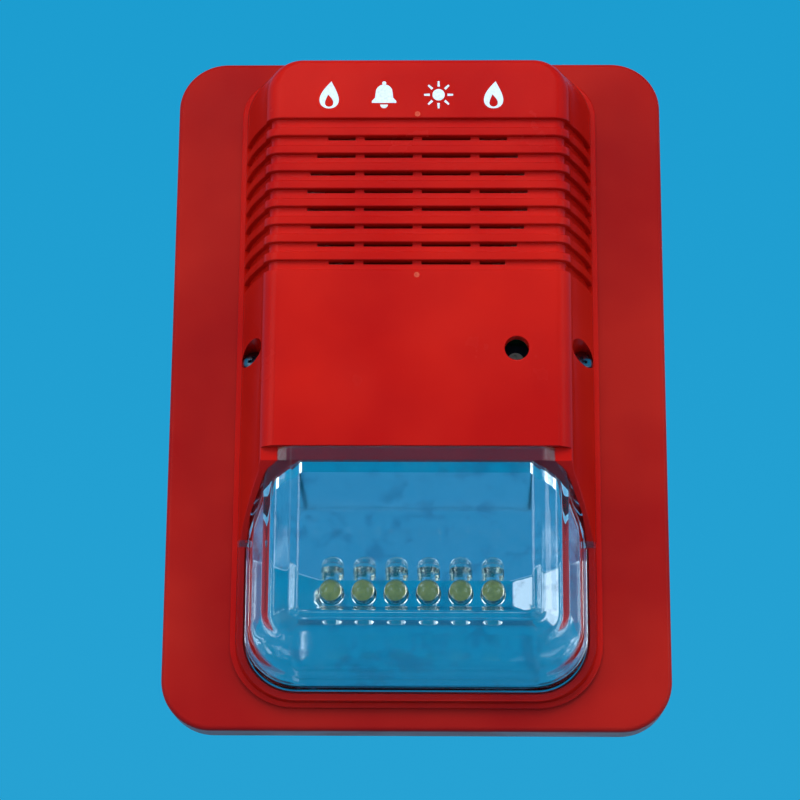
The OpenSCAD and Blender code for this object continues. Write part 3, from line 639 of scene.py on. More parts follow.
lip_top = SEAM + LIP_T
lip_edge = 0.25
lip_rings = [lip_ring(inset, z) for inset, z in (
    (lip_edge, SEAM), (0, SEAM + lip_edge), (0, lip_top - lip_edge), (lip_edge, lip_top))]
cover = loft("cover_shell", lip_rings + [housing_ring(z) for z in heights_from(lip_top, 8, 9)])
print("outer form:", len(cover.data.polygons), "faces")

# %% [markdown]
# ## The louvres
#
# Nine grooves run over the front and down both sides. On the real mould each is one milled step with its
# edges broken, so the ribs between them catch the light in thin lines. One groove cutter is swept along
# the cover's own section: its profile flares where it meets the surface, and that flare rounds the
# ribs' edges by itself. A Geometry Nodes row makes nine of it.

# %% Groove cutters
GROOVES = 9
GROOVE_PITCH = 4.1
GROOVE_W = 2.2
GROOVE_DEPTH = 1.2
GROOVE_TOP = 55.2
rib_round = 0.32
floor_round = 0.22


def groove_profile():
    """Half of the profile, then mirrored: depth below the surface, and distance from the groove's middle."""
    w = GROOVE_W / 2
    flare = rib_round - 0.015
    half = [(-1.6, w + rib_round)]
    half += [(flare - rib_round * cos(radians(a)), w + rib_round - rib_round * sin(radians(a)))
             for a in (0, 22, 45, 67, 90)]
    half += [(GROOVE_DEPTH - floor_round + floor_round * sin(radians(a)), w - floor_round
              + floor_round * cos(radians(a))) for a in (0, 45, 90)]
    return half + [(depth, -v) for depth, v in reversed(half)]


def groove_cutter(y):
    right = [(side_x(z), z) for z in heights_from(lip_top + 0.6, 7, 10)]
    path = right + [(-x, z) for x, z in reversed(right)]
    rings = []
    for i, (x, z) in enumerate(path):
        before, after = path[max(i - 1, 0)], path[min(i + 1, len(path) - 1)]
        along = Vector((after[0] - before[0], after[1] - before[1])).normalized()
        rings.append([(x - along.y * d, y + v, z + along.x * d) for d, v in groove_profile()])
    return loft("groove", rings)


grooves = in_row(groove_cutter(GROOVE_TOP - GROOVE_W / 2), GROOVES, (0, -GROOVE_PITCH, 0))
cut(cover, grooves)
print("with grooves:", len(cover.data.polygons), "faces")

# %% [markdown]
# ## The sound slots
#
# Eight rows of slots open the grooves' floors, each close under a rib, where rain can't reach them. Together
# they fill a round field over the sounder, and three bridges cross every row to keep fingers and tools
# out. Each slot is one point that carries its own size, and the node tree sets a scaled block on each.

# %% Slot cutters
SLOT_H = 0.7
BRIDGE_W = 2.0
BRIDGE_GAP = 12.6
cup_r = (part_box("sounder_seal")[1].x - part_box("sounder_seal")[0].x) / 2 / MM + 0.1
grille_r = cup_r - 1.6
grille_y = GROOVE_TOP - GROOVES * GROOVE_PITCH / 2


def slot_field():
    """Middle and size of every slot."""
    places, sizes = [], []
    low, high = inner_z - 1, housing_d - GROOVE_DEPTH / 2
    for row in range(1, GROOVES):
        y = GROOVE_TOP - row * GROOVE_PITCH - SLOT_H / 2
        reach = sqrt(grille_r ** 2 - (y - grille_y) ** 2)
        stops = [-reach, -BRIDGE_GAP, 0, BRIDGE_GAP, reach]
        for i in range(4):
            x0 = stops[i] + (BRIDGE_W / 2 if i > 0 else 0)
            x1 = stops[i + 1] - (BRIDGE_W / 2 if i < 3 else 0)
            if x1 - x0 > SLOT_H:
                places.append(((x0 + x1) / 2, y, (low + high) / 2))
                sizes.append((x1 - x0, SLOT_H, high - low))
    return places, sizes


slot_places, slot_sizes = slot_field()
unit_block = block("unit", -0.5, 0.5, -0.5, 0.5, -0.5, 0.5)
slots = at_points("slots", unit_block, slot_places, sizes=slot_sizes)
print(len(slot_places), "slots in a field of radius", round(grille_r, 1), "mm")

# %% [markdown]
# ## The lens seat, the wells and the hollow inside
#
# Below the front panel everything in front of a slanted bulkhead is open for the lens. The bulkhead leans at
# the mirror's angle, so mirror and lens end can rest against it. Two deep wells take the cover screws,
# and a round hole lets a screwdriver reach the volume control. The inside is the same stack of rings,
# one wall smaller, with the bosses left standing.

# %% Cut the cover
LENS_TOP = -19
LENS_WALL = 1.8
LENS_LIP = 2.8
LENS_FILM = 0.04
RIM_H = 4
BULKHEAD_ANGLE = 47
PART_GAP = 0.1
SHELF_W = 1.5
MIRROR_T = 1.5
WELL_D = 5.4
WELL_Y = 4.2
WELL_IN = 4
WELL_FLOOR = 2
cut_run = tan(radians(BULKHEAD_ANGLE))
lip_z = housing_d - LENS_WALL
cut_foot = LENS_TOP - LENS_LIP - lip_z * cut_run
lens_half_w = half_w - 3
lens_bottom = -half_h + 2.6
tray_z = RIM_H - 0.2
shelf_z = tray_z - MIRROR_T - PART_GAP
well_x = half_w - WELL_IN
adjust_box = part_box("volume_rotor")
adjust_x = (adjust_box[0].x + adjust_box[1].x) / 2 / MM
adjust_y = (adjust_box[0].z + adjust_box[1].z) / 2 / MM
ear_reach = cup_r + 4.8
EARS = [(ear_reach * cos(radians(a)), grille_y + ear_reach * sin(radians(a))) for a in (25, 155, 270)]
BOARD_POSTS = [(s * 24.5, y) for s in (-1, 1) for y in (59, -12)]
BOARD_Z = 3
BOARD_T = 1.6
board_face = BOARD_Z + BOARD_T
BOSS_R = 2.6
BELOW = -95
cup_seat = inner_z - 5.9


def cut_y(z):
    return cut_foot + z * cut_run


def lens_space(drop=0.0, floor=RIM_H, edge=0.3, ledge=lip_z):
    """All that lies in front of the bulkhead and above the rim. edge rounds the front panel's lower edge."""
    z1 = housing_d + 5
    top = LENS_TOP - drop
    rounding = [(top + edge - edge * cos(radians(a)), housing_d - edge + edge * sin(radians(a)))
                for a in (90, 60, 30, 0)] if edge else []
    points = [(top + edge, z1), *rounding, (top, ledge)]
    points += [(cut_y(ledge) - drop, ledge), (cut_y(floor) - drop, floor), (BELOW, floor), (BELOW, z1)]
    return across("lens space", points)


def seat_cutter():
    upper = slab("seat", lens_half_w - 0.1, 0, lens_bottom + 0.1, FOOT_R - 2.4, shelf_z, RIM_H + 1)
    lower = slab("way", lens_half_w - SHELF_W, 0, lens_bottom + SHELF_W, FOOT_R - 3.8, -1, shelf_z + 0.05)
    return keep(join(upper, lower), lens_space(floor=-1, edge=0))


def hollow_cutter():
    rings = [housing_ring(0, WALL, -1)] + [housing_ring(z, WALL) for z in heights_from(WALL + 1.2, 6, 15)]
    hollow = loft("hollow", rings)
    rise = 1.6 / cos(radians(BULKHEAD_ANGLE))
    z0, z1 = -9, housing_d + 5
    end = across("end", [(cut_y(z0) + rise, z0), (cut_y(z1) + rise, z1), (BELOW, z1), (BELOW, z0)])
    posts = [lathe("boss", [(BOSS_R, board_face), (BOSS_R, housing_d)], x, y) for x, y in BOARD_POSTS]
    posts += [lathe("boss", [(BOSS_R, cup_seat + 2), (BOSS_R, housing_d)], x, y) for x, y in EARS]
    wall_r = WELL_D / 2 + 1.3
    posts += [lathe("boss", [(wall_r, -3), (wall_r, housing_d)], s * well_x, WELL_Y) for s in (-1, 1)]
    near_r, far_r = cup_r + 1.5 + 0.1, cup_r + 1.5 + 1.4
    collar = lathe("collar", [
        (near_r, inner_z - 2), (far_r, inner_z - 2), (far_r, housing_d), (near_r, housing_d)],
        0, grille_y, closed=True, steps=96)
    return cut(hollow, end, *posts, collar)


adjust_r = 2.6
adjust_hole = lathe("hole", [
    (adjust_r, inner_z - 2), (adjust_r, housing_d - 0.3), (adjust_r + 0.1, housing_d - 0.1),
    (adjust_r + 0.35, housing_d + 0.02), (adjust_r + 0.4, housing_d + 1)], adjust_x, adjust_y)
wells = [lathe("well", [(1.7, -3), (1.7, WELL_FLOOR), (WELL_D / 2, WELL_FLOOR), (WELL_D / 2, housing_d + 1)],
               s * well_x, WELL_Y) for s in (-1, 1)]
pilots = [lathe("pilot", [(1.25, z - 1), (1.25, z + 6.6)], x, y, steps=24)
          for places, z in ((BOARD_POSTS, board_face), (EARS, cup_seat)) for x, y in places]
cut(cover, hollow_cutter(), lens_space(), seat_cutter(), slots, adjust_hole, *wells, *pilots)
print("cut cover:", len(cover.data.polygons), "faces")

# %% [markdown]
# ## Broken edges and pegs
#
# No moulded edge is sharp. The rim that the lens stands on and the slanted cheeks beside it show their edges
# most, so those get a small rounding. Four pegs under the foot drop into the back plate.

# %% Finish the cover
def seat_edges(x, y, z):
    on_rim = abs(z - RIM_H) < 0.02 and y < cut_foot + 8
    on_cheek = abs(y - cut_y(z)) < 0.02 and abs(x) > 28
    return on_rim or on_cheek


rounded = round_edges(cover, 0.28, seat_edges, segments=2)
pegs = [lathe("peg", [(1.1, -1.8), (1.5, -1.4), (1.5, SEAM + 0.3)], s * 20, t * (half_h - 2), steps=24)
        for s in (-1, 1) for t in (-1, 1)]
join(cover, *pegs)
dress(cover, "cover", "cover_red", cover_red, "front_housing")
print("rounded", rounded, "edges; the cover has", len(cover.data.polygons), "faces")

# %% [markdown]
# ## Two gate nibs
#
# Where plastic entered the mould, a small paler nib stays behind: one above the top groove and one
# below the bottom groove, both on the middle line. Each is a low button with a broken top.

# %% Gate nibs
nib_pink = dull("gate nib", rgb(214, 84, 48), rgb(196, 52, 30), 0.5, 0.2, 0.01, spots=0.6)
nib = lathe("gate_nibs", [(0.62, housing_d - 0.1), (0.6, housing_d + 0.05), (0.42, housing_d + 0.1),
                          (0.3, housing_d + 0.06), (0, housing_d + 0.08)], 0, GROOVE_TOP + 0.9, steps=20)
groove_span = GROOVES * GROOVE_PITCH
nibs = in_row(nib, 2, (0, -groove_span - 0.2, 0), nib_pink)
dress(nibs, "cover", "cover_red", None)
print("nibs:", len(nibs.data.polygons), "faces")

# %% [markdown]
# ## Printed symbols
#
# The front panel's top band carries four white symbols in place of a word: a flame, a bell, a shining lamp
# and a flame again, so that anyone can read what the device does. Real ones are pad-printed, a film a few
# hundredths of a millimetre thick. Each is an outline made from arcs, raised by that little.

# %% Symbols
SYMBOL_H = 6.4
SYMBOL_Y = 60.6
film = (housing_d - 0.02, housing_d + 0.045)


def film_shape(outline, x, y):
    return loft("film", [[(x + u, y + v, z) for u, v in outline] for z in film])


def flame_outline(width, height, bend):
    """A drop with its tip bent aside."""
    points = []
    for i in range(40):
        a = 2 * pi * i / 40
        v = -cos(a) * height / 2
        swell = width / 2 * sin(a) * (0.5 + 0.5 * cos(a)) ** 0.6 * 1.25
        tip = max(0.0, v / height + 0.1)
        points.append((swell + bend * tip * tip, v))
    return points


def arc_band(r0, r1, start, end, x=0.0, y=0.0, steps=12):
    angles = [radians(start + (end - start) * i / steps) for i in range(steps + 1)]
    return [(x + r1 * cos(a), y + r1 * sin(a)) for a in angles] + [(x + r0 * cos(a), y + r0 * sin(a))
                                                                   for a in reversed(angles)]


def flame(x):
    outer = film_shape(flame_outline(4.6, SYMBOL_H, 1.3), x, SYMBOL_Y)
    low, high = film[0] - 1, film[1] + 1
    heart = loft("heart", [[(x + u, SYMBOL_Y - 1.35 + v, z) for u, v in flame_outline(2.0, 2.9, -0.7)]
                           for z in (low, high)])
    return [cut(outer, heart)]


def bell(x):
    side = [(2.7, -1.9), (2.7, -1.5), (2.0, -0.7), (1.85, 0.6)]
    side += [(1.85 * cos(radians(a)), 0.6 + 1.85 * sin(radians(a))) for a in (20, 40, 60, 80)]
    body = side + [(-u, v) for u, v in reversed(side)]
    knob = [(0.45 * cos(radians(a)), 2.75 + 0.45 * sin(radians(a))) for a in range(0, 360, 30)]
    clapper = arc_band(0.0, 0.85, 180, 360, 0, -2.3)[:-12]
    return [film_shape(shape, x, SYMBOL_Y) for shape in (body, knob, clapper)]


def lamp(x):
    bulb = [(1.35 * cos(radians(a)), 1.35 * sin(radians(a))) for a in range(0, 360, 12)]
    pieces = [film_shape(bulb, x, SYMBOL_Y)]
    for i in range(8):
        a = radians(45 * i)
        c, s = cos(a), sin(a)
        corners = [(1.95, -0.27), (3.2, -0.2), (3.2, 0.2), (1.95, 0.27)]
        pieces.append(film_shape([(u * c - v * s, u * s + v * c) for u, v in corners], x, SYMBOL_Y))
    return pieces


def as_one(name, pieces):
    """Several separate meshes as one piece."""
    shape = bmesh.new()
    for piece in pieces:
        shape.from_mesh(piece.data)
        bpy.data.objects.remove(piece)
    mesh = bpy.data.meshes.new(name)
    shape.to_mesh(mesh)
    shape.free()
    whole = bpy.data.objects.new(name, mesh)
    bpy.context.scene.collection.objects.link(whole)
    return whole


print_white = dull("print white", rgb(236, 236, 234), rgb(214, 214, 214), 0.5, 0.16, 0.008, spots=0.5)
symbols = as_one("panel_symbols", flame(-19.5) + bell(-7.4) + lamp(4.6) + flame(16.7))
dress(symbols, "cover", "slider_white", print_white)
print("symbols:", len(symbols.data.polygons), "faces")

# %% [markdown]
# ## The clear lens
#
# The lens is a deep tray of clear plastic turned over the lights: a flat window in front, two slanted bands
# around it, and a thin flange that sits on the red rim. Its facets are stops of one list: how high,
# how far the side and the bottom have come in, and the corner radius. `ease` rounds the crease at each
# stop, because a crease of zero radius would never glint. The flange lies flat on red plastic, so it gets a
# thin see-through finish that lets the light down to the rim, with a dark red tint that is painted shade
# along the lens's edge. The tray itself bends light.

# %% Lens
LENS_STOPS = [
    (0, 0, 0, 11.8), (0.36, 1.6, 3.4, 9.5), (0.8, 5.2, 9.4, 5.5), (1, 10.7, 13.4, 1.6), (1, 12.6, 15.3, 1.0)]


def ease(stops, share=0.16, steps=4):
    """The stops with every inner one replaced by a short curve."""
    eased = [stops[0]]
    for before, here, after in zip(stops, stops[1:], stops[2:]):
        start = [h + (b - h) * share for b, h in zip(before, here)]
        end = [h + (a - h) * share for a, h in zip(after, here)]
        for i in range(steps + 1):
            t = i / steps
            eased.append(tuple((1 - t) ** 2 * s + 2 * t * (1 - t) * h + t * t * e
                               for s, h, e in zip(start, here, end)))
    return eased + [stops[-1]]


def lens_form(shrink, foot):
    rings = []
    for share, side, rise, r in ease(LENS_STOPS):
        z = foot if share == 0 else RIM_H + share * (housing_d - RIM_H) - shrink
        rings.append(ring(lens_half_w - side - shrink, LENS_TOP + 6, lens_bottom + rise + shrink,
                          0.6, max(0.5, r - shrink * 0.3), z))
    return loft("lens form", rings)


def clear_lens():
    lens = lens_form(0, RIM_H - 1)
    lens.name = "clear_lens_shell"
    flange = slab("flange", lens_half_w + 1.5, 0, lens_bottom - 1.2, FOOT_R - 1.2, RIM_H - 1, RIM_H + 1.2,
                  edge=0.4)
    join(lens, flange)
    keep(lens, lens_space(PART_GAP, RIM_H + LENS_FILM, 0, lip_z + LENS_FILM))
    inside = keep(lens_form(LENS_WALL, RIM_H - 2), lens_space(PART_GAP, RIM_H - 3, 0, lip_z + LENS_FILM))
    return cut(lens, inside)


lens = dress(clear_lens(), "cover", "lens_clear", lens_clear, "clear_lens", crease=28)
# Dark red tint at low alpha: painted shade along the lens's edge, on the clear flange.
lens_flange_shade_tint = dull("lens flange shade tint", rgb(70, 20, 24), rgb(60, 16, 20), 0.12, 0.8, 0.001, Alpha=0.12)
lens.data.materials.append(lens_flange_shade_tint)
for face in lens.data.polygons:
    if -face.center.y - plate_front < (RIM_H + 1.3) * MM:
        face.material_index = 1
print("lens:", len(lens.data.polygons), "faces")

# %% [markdown]
# ## The mirror
#
# One thin plated shell does three jobs: a slanted upper plane throws light forwards and down, a shallow dish
# with sloping sides holds the row of lights in its floor, and a flat rim rests on the cover's shelf under
# the lens. Again rings describe it, each with its own height and outline, and `ease` rounds the folds.

# %% Mirror
led_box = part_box("strobe_leds")
LEDS = 6
LED_D = 5
led_flange_r = LED_D / 2 + 0.4
led_pitch = ((led_box[1].x - led_box[0].x) / MM - 2 * led_flange_r) / (LEDS - 1)
first_led = led_box[0].x / MM + led_flange_r
mirror_drop = (MIRROR_T + PART_GAP) / cos(radians(BULKHEAD_ANGLE))
strip_top = cut_foot - mirror_drop
strip_h = LED_D + 0.9
led_y = strip_top - strip_h / 2
strip_half_w = (LEDS - 1) * led_pitch / 2 + LED_D / 2 + 0.6
dish_half_w = strip_half_w + 8
dish_low = strip_top - strip_h - 4
tray_half_w = lens_half_w - 0.5
tray_bottom = lens_bottom + 0.5
rim_w = SHELF_W + 0.3
DISH_Z = 1.8


def mirror_y(z):
    return cut_y(z) - mirror_drop


def mirror_stops(back):
    """The dish's rings: half width, bottom, corner radius and height, from its floor to the rim."""
    return [
        (strip_half_w - 1, strip_top - strip_h + 1, 0.3, -back),
        (strip_half_w + back, strip_top - strip_h - back, 0.5, -back),
        (dish_half_w + back * 0.5, dish_low - back * 0.5, 0.9, DISH_Z - back),
        (tray_half_w - rim_w, tray_bottom + rim_w, FOOT_R - 2.9 - rim_w, tray_z - back),
    ]


def mirror_ring(half, bottom, r, z, top_z=None):
    return ring(half, mirror_y(z if top_z is None else top_z), bottom, min(0.5, r), r, z)


def mirror_shell():
    front = [mirror_ring(*stop) for stop in ease(mirror_stops(0), 0.14)]
    rim_end = mirror_stops(0)[-1]
    front.append(mirror_ring(rim_end[0], rim_end[1], rim_end[2], tray_z + 1))
    back = [mirror_ring(*stop) for stop in mirror_stops(MIRROR_T)]
    rim = (tray_half_w, tray_bottom, FOOT_R - 2.9)
    back += [mirror_ring(*rim, tray_z - MIRROR_T), mirror_ring(*rim, tray_z)]
    shell = cut(loft("reflector_shell", back), loft("dish", front))
    z0, z1, lap = -MIRROR_T, housing_d, 0.02
    plane = across("plane", [(mirror_y(z0) - lap, z0), (mirror_y(z1) - lap, z1), (cut_y(z1) - PART_GAP, z1),
                             (cut_y(z0) - PART_GAP, z0)])
    shape = lens_form(LENS_WALL + 0.3, RIM_H - 0.5)
    join(shape, slab("foot", tray_half_w, 0, tray_bottom, FOOT_R - 2.9, tray_z - MIRROR_T, tray_z),
         block("middle", -dish_half_w, dish_half_w, tray_bottom, 0, z0, tray_z - 0.01))
    join(shell, keep(plane, shape))
    narrow, wide = LED_D / 2 + 0.1, LED_D / 2 + 0.3
    holes = [lathe("hole", [(narrow, -3), (narrow, -0.12), (wide, 0.02), (wide, 1)],
                   first_led + i * led_pitch, led_y, steps=40) for i in range(LEDS)]
    return cut(shell, *holes)


mirror = dress(mirror_shell(), "cover", "mirror_plating", mirror_plating, "reflector", crease=24)
print("mirror:", len(mirror.data.polygons), "faces; lights every", round(led_pitch, 2), "mm")

# %% [markdown]
# ## The six strobe lights
#
# Each light is a 5 mm epoxy dome with a flange, cast around a stamped frame: a cup on one leg holds the chip
# under a yellow-green phosphor, and a second leg ends beside it. Turned profiles give dome and cup, and
# the dome magnifies the cup so that it fills the lens when seen from the front.

# %% Lights
LEG_X = 1.27
LEG_R = 0.25
CUP_X = -0.15


def light_body():
    tip = 3.6
    r = LED_D / 2
    back = -MIRROR_T
    profile = [(0, back - 1), (led_flange_r - 0.1, back - 1), (led_flange_r, back - 0.9)]
    profile += [(led_flange_r, back - 0.15), (led_flange_r - 0.12, back - 0.02), (r, back), (r, tip)]
    profile += [(r * cos(radians(a)), tip + r * sin(radians(a))) for a in range(8, 91, 8)] + [(0, tip + r)]
    return lathe("strobe_led_domes", profile, first_led, led_y, steps=40)


def light_frame():
    cup = lathe("strobe_led_frames", [(0, 2.2), (1.5, 2.3), (1.85, 3.4), (1.7, 3.4), (1.1, 2.75), (0, 2.7)],
                first_led + CUP_X, led_y, steps=28)
    bars = [block(name, first_led + left, first_led + right, led_y - LEG_R, led_y + LEG_R, low, high)
            for name, left, right, low, high in (
                ("leg", -LEG_X - LEG_R, -LEG_X + LEG_R, -5.2, 1.5),
                ("leg", LEG_X - LEG_R, LEG_X + LEG_R, -5.2, 1.5),
                ("anvil", -1.52, 0.3, 1.4, 2.5),
                ("hook", 1.02, 1.9, 1.3, 1.8),
                ("post", 1.72, 1.95, 1.5, 3.1))]
    return as_one("strobe_led_frames", [cup, *bars])


phosphor_yellow = dull("phosphor", rgb(214, 204, 92), rgb(186, 180, 70), 0.5, 0.2, 0.02, spots=0.7)
step = (led_pitch, 0, 0)
domes = in_row(light_body(), LEDS, step, led_epoxy)
dress(domes, "cover", "led_epoxy", None, "strobe_leds", crease=40)
frames = in_row(light_frame(), LEDS, step, lead_frame)
dress(frames, "cover", "led_metal", None, "led_cores")
chip = lathe("strobe_led_phosphor", [(0, 2.72), (1.05, 2.76), (1.5, 3.15), (1.2, 3.26), (0, 3.3)],
             first_led + CUP_X, led_y, steps=28)
chips = in_row(chip, LEDS, step, phosphor_yellow)
dress(chips, "cover", "led_epoxy", None)
print("lights:", LEDS, "domes with", len(domes.data.polygons), "faces")

# %% [markdown]
# ## The back plate
#
# The back plate is a shallow tray with its rim rolled over. From behind it is a moat crossed by thin ribs
# that keep it stiff without sinks in the front, around a deep wiring space whose floor takes two wall screws
# and the cable grommet. The same slabs that shape it in the mould shape it here. The ribs are one
# block repeated by the node row.

# %% Back plate
OPEN_HALF_W = well_x - 4.2
OPEN_TOP = half_h - 10
OPEN_R = 6
FLOOR_Z = -plate_t + PLATE_WALL
CABLE_R = 4
SLOT_GAP = 60
SLOT_R = 2.25
SLOT_REACH = 1.75
INSERT_R = 2.2


def plate_slab(name, inset, z0, z1):
    return slab(name, plate_half_w - inset, plate_half_h - inset, -plate_half_h + inset, PLATE_R - inset,
                z0, z1)


def plate_ring(inset, z):
    high, r = plate_half_h - inset, PLATE_R - inset
    return ring(plate_half_w - inset, high, -high, r, r, z, steps=20)


def plate_block():
    roll = 1.2
    rings = [(0.4, -plate_t), (0.1, -plate_t + 0.12), (0, -plate_t + 0.4)]
    rings += [(roll * (1 - cos(radians(a))), -roll * (1 - sin(radians(a)))) for a in range(0, 91, 10)]
    return loft("back_plate_shell", [plate_ring(inset, z) for inset, z in rings])


def plate_moat():
    moat = plate_slab("moat", PLATE_WALL, -plate_t - 1, -PLATE_WALL)
    island = slab("island", OPEN_HALF_W + PLATE_WALL, OPEN_TOP + PLATE_WALL, -OPEN_TOP - PLATE_WALL,
                  OPEN_R + PLATE_WALL, -plate_t - 2, 0)
    posts = [lathe("post", [(INSERT_R + 2, -plate_t - 2), (INSERT_R + 2, 0)], s * well_x, WELL_Y)
             for s in (-1, 1)]
    wide = in_row(block("rib", -BEYOND, BEYOND, -50.8, -49.2, -plate_t + 1, 0), 2, (0, 25, 0))
    wide_top = in_row(block("rib", -BEYOND, BEYOND, 24.2, 25.8, -plate_t + 1, 0), 2, (0, 25, 0))
    tall = in_row(block("rib", -24.8, -23.2, BELOW, -BELOW, -plate_t + 1, 0), 4, (16, 0, 0))
    return cut(moat, island, *posts, wide, wide_top, tall)


def wall_slot(y):
    z0, z1 = -plate_t - 1, FLOOR_Z + 1
    ends = [lathe("slot", [(SLOT_R, z0), (SLOT_R, z1)], 0, y + s * SLOT_REACH, steps=40) for s in (1, -1)]
    return join(*ends, block("slot", -SLOT_R, SLOT_R, y - SLOT_REACH, y + SLOT_REACH, z0, z1))


def back_plate():
    cutters = [plate_moat(), slab("wiring space", OPEN_HALF_W, OPEN_TOP, -OPEN_TOP, OPEN_R, FLOOR_Z, 1)]
    cutters += [wall_slot(s * SLOT_GAP / 2) for s in (-1, 1)]
    cutters.append(lathe("cable", [(CABLE_R + 3, -plate_t - 1), (CABLE_R + 3, FLOOR_Z + 1)]))
    for s in (-1, 1):
        cutters.append(lathe("insert", [(1.8, -plate_t + 1), (1.8, -5.5), (INSERT_R, -5.5), (INSERT_R, -0.3),
                                        (INSERT_R + 0.3, 0.02), (INSERT_R + 0.3, 1)], s * well_x, WELL_Y))
        cutters += [lathe("peg hole", [(1.8, -PLATE_WALL - 1), (1.8, -0.3), (2.1, 0.02), (2.1, 1)],
                          s * 20, t * (half_h - 2), steps=24) for t in (-1, 1)]
    return cut(plate_block(), *cutters)


plate = dress(back_plate(), "base", "plate_red", plate_red, "back_plate")
print("back plate:", len(plate.data.polygons), "faces")

# %% [markdown]
# ## Gasket, grommet and threaded inserts
#
# A strip of grey foam seals the plate to the wall, and pressing it makes its edge bulge, so its rim is a
# small curve and not a straight cut. The grommet is turned, with a soft lip on both sides of the floor.
# The inserts are knurled brass: every second point of their rings stands out a little.

# %% Soft seals and inserts
foam_t = abs(plate_box[1].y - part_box("wall_gasket")[1].y) / MM
foam_back = -plate_t - foam_t


gasket = loft("wall_gasket_foam", [plate_ring(inset, foam_back + share * foam_t) for inset, share in (
    (0.75, 0), (0.45, 0.15), (0.3, 0.5), (0.45, 0.85), (0.75, 1),
    (6.6, 1), (6.85, 0.85), (7, 0.5), (6.85, 0.15), (6.6, 0))], closed=True)
dress(gasket, "base", "foam_grey", foam_grey, "wall_gasket", crease=50)

lip_r = CABLE_R + 4.6
neck_r = CABLE_R + 3
grommet = lathe("cable_grommet_rubber", [
    (CABLE_R, foam_back + 0.4), (CABLE_R + 0.4, foam_back), (lip_r - 0.4, foam_back),
    (lip_r, foam_back + 0.4), (lip_r, -plate_t - 0.2), (lip_r - 0.2, -plate_t),
    (neck_r, -plate_t), (neck_r, FLOOR_Z), (lip_r - 0.2, FLOOR_Z), (lip_r, FLOOR_Z + 0.3),
    (lip_r - 0.3, FLOOR_Z + 0.9), (lip_r - 0.9, FLOOR_Z + 1.2), (CABLE_R + 0.4, FLOOR_Z + 1.2),
    (CABLE_R, FLOOR_Z + 0.8)], closed=True, steps=64)
dress(grommet, "base", "rubber_black", rubber_black, "cable_grommet", crease=50)


def knurled_insert():
    low, high = -2.5, 2.5
    bore = 1.55
    rings = []
    for r, z, knurl in (
            (bore + 0.2, low, 0), (2.0, low, 0), (2.1, low + 0.3, 0.1), (2.1, -0.4, 0.1), (1.85, -0.3, 0),
            (1.85, 0.3, 0), (2.1, 0.4, 0.1), (2.1, high - 0.3, 0.1), (2.0, high, 0), (bore + 0.2, high, 0),
            (bore, high - 0.2, 0), (bore, low + 0.2, 0)):
        rings.append([(x * (1 + knurl * (i % 2) / r), y * (1 + knurl * (i % 2) / r), z)
                      for i, (x, y, z) in enumerate(circle(0, 0, r, z, 48))])
    return loft("insert", rings, closed=True)


insert_places = [(s * well_x, WELL_Y, -3) for s in (-1, 1)]
inserts = at_points("threaded_inserts_knurled", knurled_insert(), insert_places, brass)
dress(inserts, "base", "insert_brass", None, "threaded_inserts", crease=20)
print("gasket, grommet and inserts are on the plate")

# %% [markdown]
# ## Screws
#
# All screws here have a domed pan head with a cross recess and a rolled thread. One turned profile serves
# every size: the dome is an arc, and the thread is a row of small crests, which looks the same as a
# helix at this size and stays a closed solid. The recess is cut with two tapered blades.

# %% Screws
def blade(length, width, z, depth, turn):
    """A tapered blade of a cross recess, wide at z and narrow at depth."""
    rings = []
    for share, height in ((0.55, z - depth), (1.08, z + 0.3)):
        u, v = length / 2 * share, width / 2 * share
        corners = [(-u, -v), (u, -v), (u, v), (-u, v)]
        rings.append([(y, x, height) if turn else (x, y, height) for x, y in corners])
    return loft("blade", rings)


def pan_screw(name, r, length, head_r, head_h, down=True):
    """A screw whose head's underside is at z 0. down says that the shank points towards the wall."""
    pitch = 0.36 * r
    crests = int(length * 0.8 / pitch)
    profile = [(0, -length), (r * 0.55, -length), (r * 0.8, -length + r * 0.5)]
    for i in range(crests):
        z = -length + r * 0.5 + i * pitch
        profile += [(r, z + pitch * 0.5), (r * 0.84, z + pitch)]
    profile += [(r * 0.95, -0.15), (r, 0), (head_r - 0.12, 0), (head_r, 0.14), (head_r, head_h * 0.35)]
    profile += [(head_r * cos(radians(a)), head_h * (0.35 + 0.65 * sin(radians(a))))
                for a in (20, 40, 60, 78)]
    screw = lathe(name, profile + [(0, head_h)], steps=32)
    cut(screw, *[blade(head_r * 1.15, head_r * 0.3, head_h, head_h * 0.55, turn) for turn in (False, True)])
    if not down:
        middle = stand(0, 0, 0)[1]
        screw.data.transform(Matrix.Translation((0, middle, 0)) @ Matrix.Rotation(pi, 4, "X")
                             @ Matrix.Translation((0, -middle, 0)))
    return screw


SMALL = dict(r=1.2, head_r=2.3, head_h=1.5, down=False)
led_board_z = -MIRROR_T - 1.3
led_screw_x = strip_half_w + 4
screw_sets = [
    ("cover_screws_pan", "cover_screws", pan_screw("screw", 1.5, 7.5, WELL_D / 2 - 0.25, 2),
     [(s * well_x, WELL_Y, WELL_FLOOR) for s in (-1, 1)]),
    ("board_screws_pan", "board_screws", pan_screw("screw", length=7.6, **SMALL),
     [(x, y, BOARD_Z) for x, y in BOARD_POSTS]),
    ("sounder_screws_pan", "sounder_screws", pan_screw("screw", length=6.4, **SMALL),
     [(x, y, cup_seat) for x, y in EARS]),
    ("led_board_screws_pan", "led_board_screws", pan_screw("screw", length=3.7, **SMALL),
     [(s * led_screw_x, led_y, led_board_z - BOARD_T) for s in (-1, 1)]),
]
for name, node, screw, places in screw_sets:
    dress(at_points(name, screw, places, screw_steel), "cover", "screw_steel", None, node, crease=35)
    print(node, len(places), "screws")

# %% [markdown]
# ## The sounder
#
# Behind the slots a black cup holds a thin brass disc by a soft ring at its rim. A silvered ceramic on the
# disc bends it a few thousand times a second, and the cup's air makes it loud. Cup, disc and ceramic
# are turned, so each is one profile with its edges broken. The cup's three ears are blocks with round
# ends, joined to it.

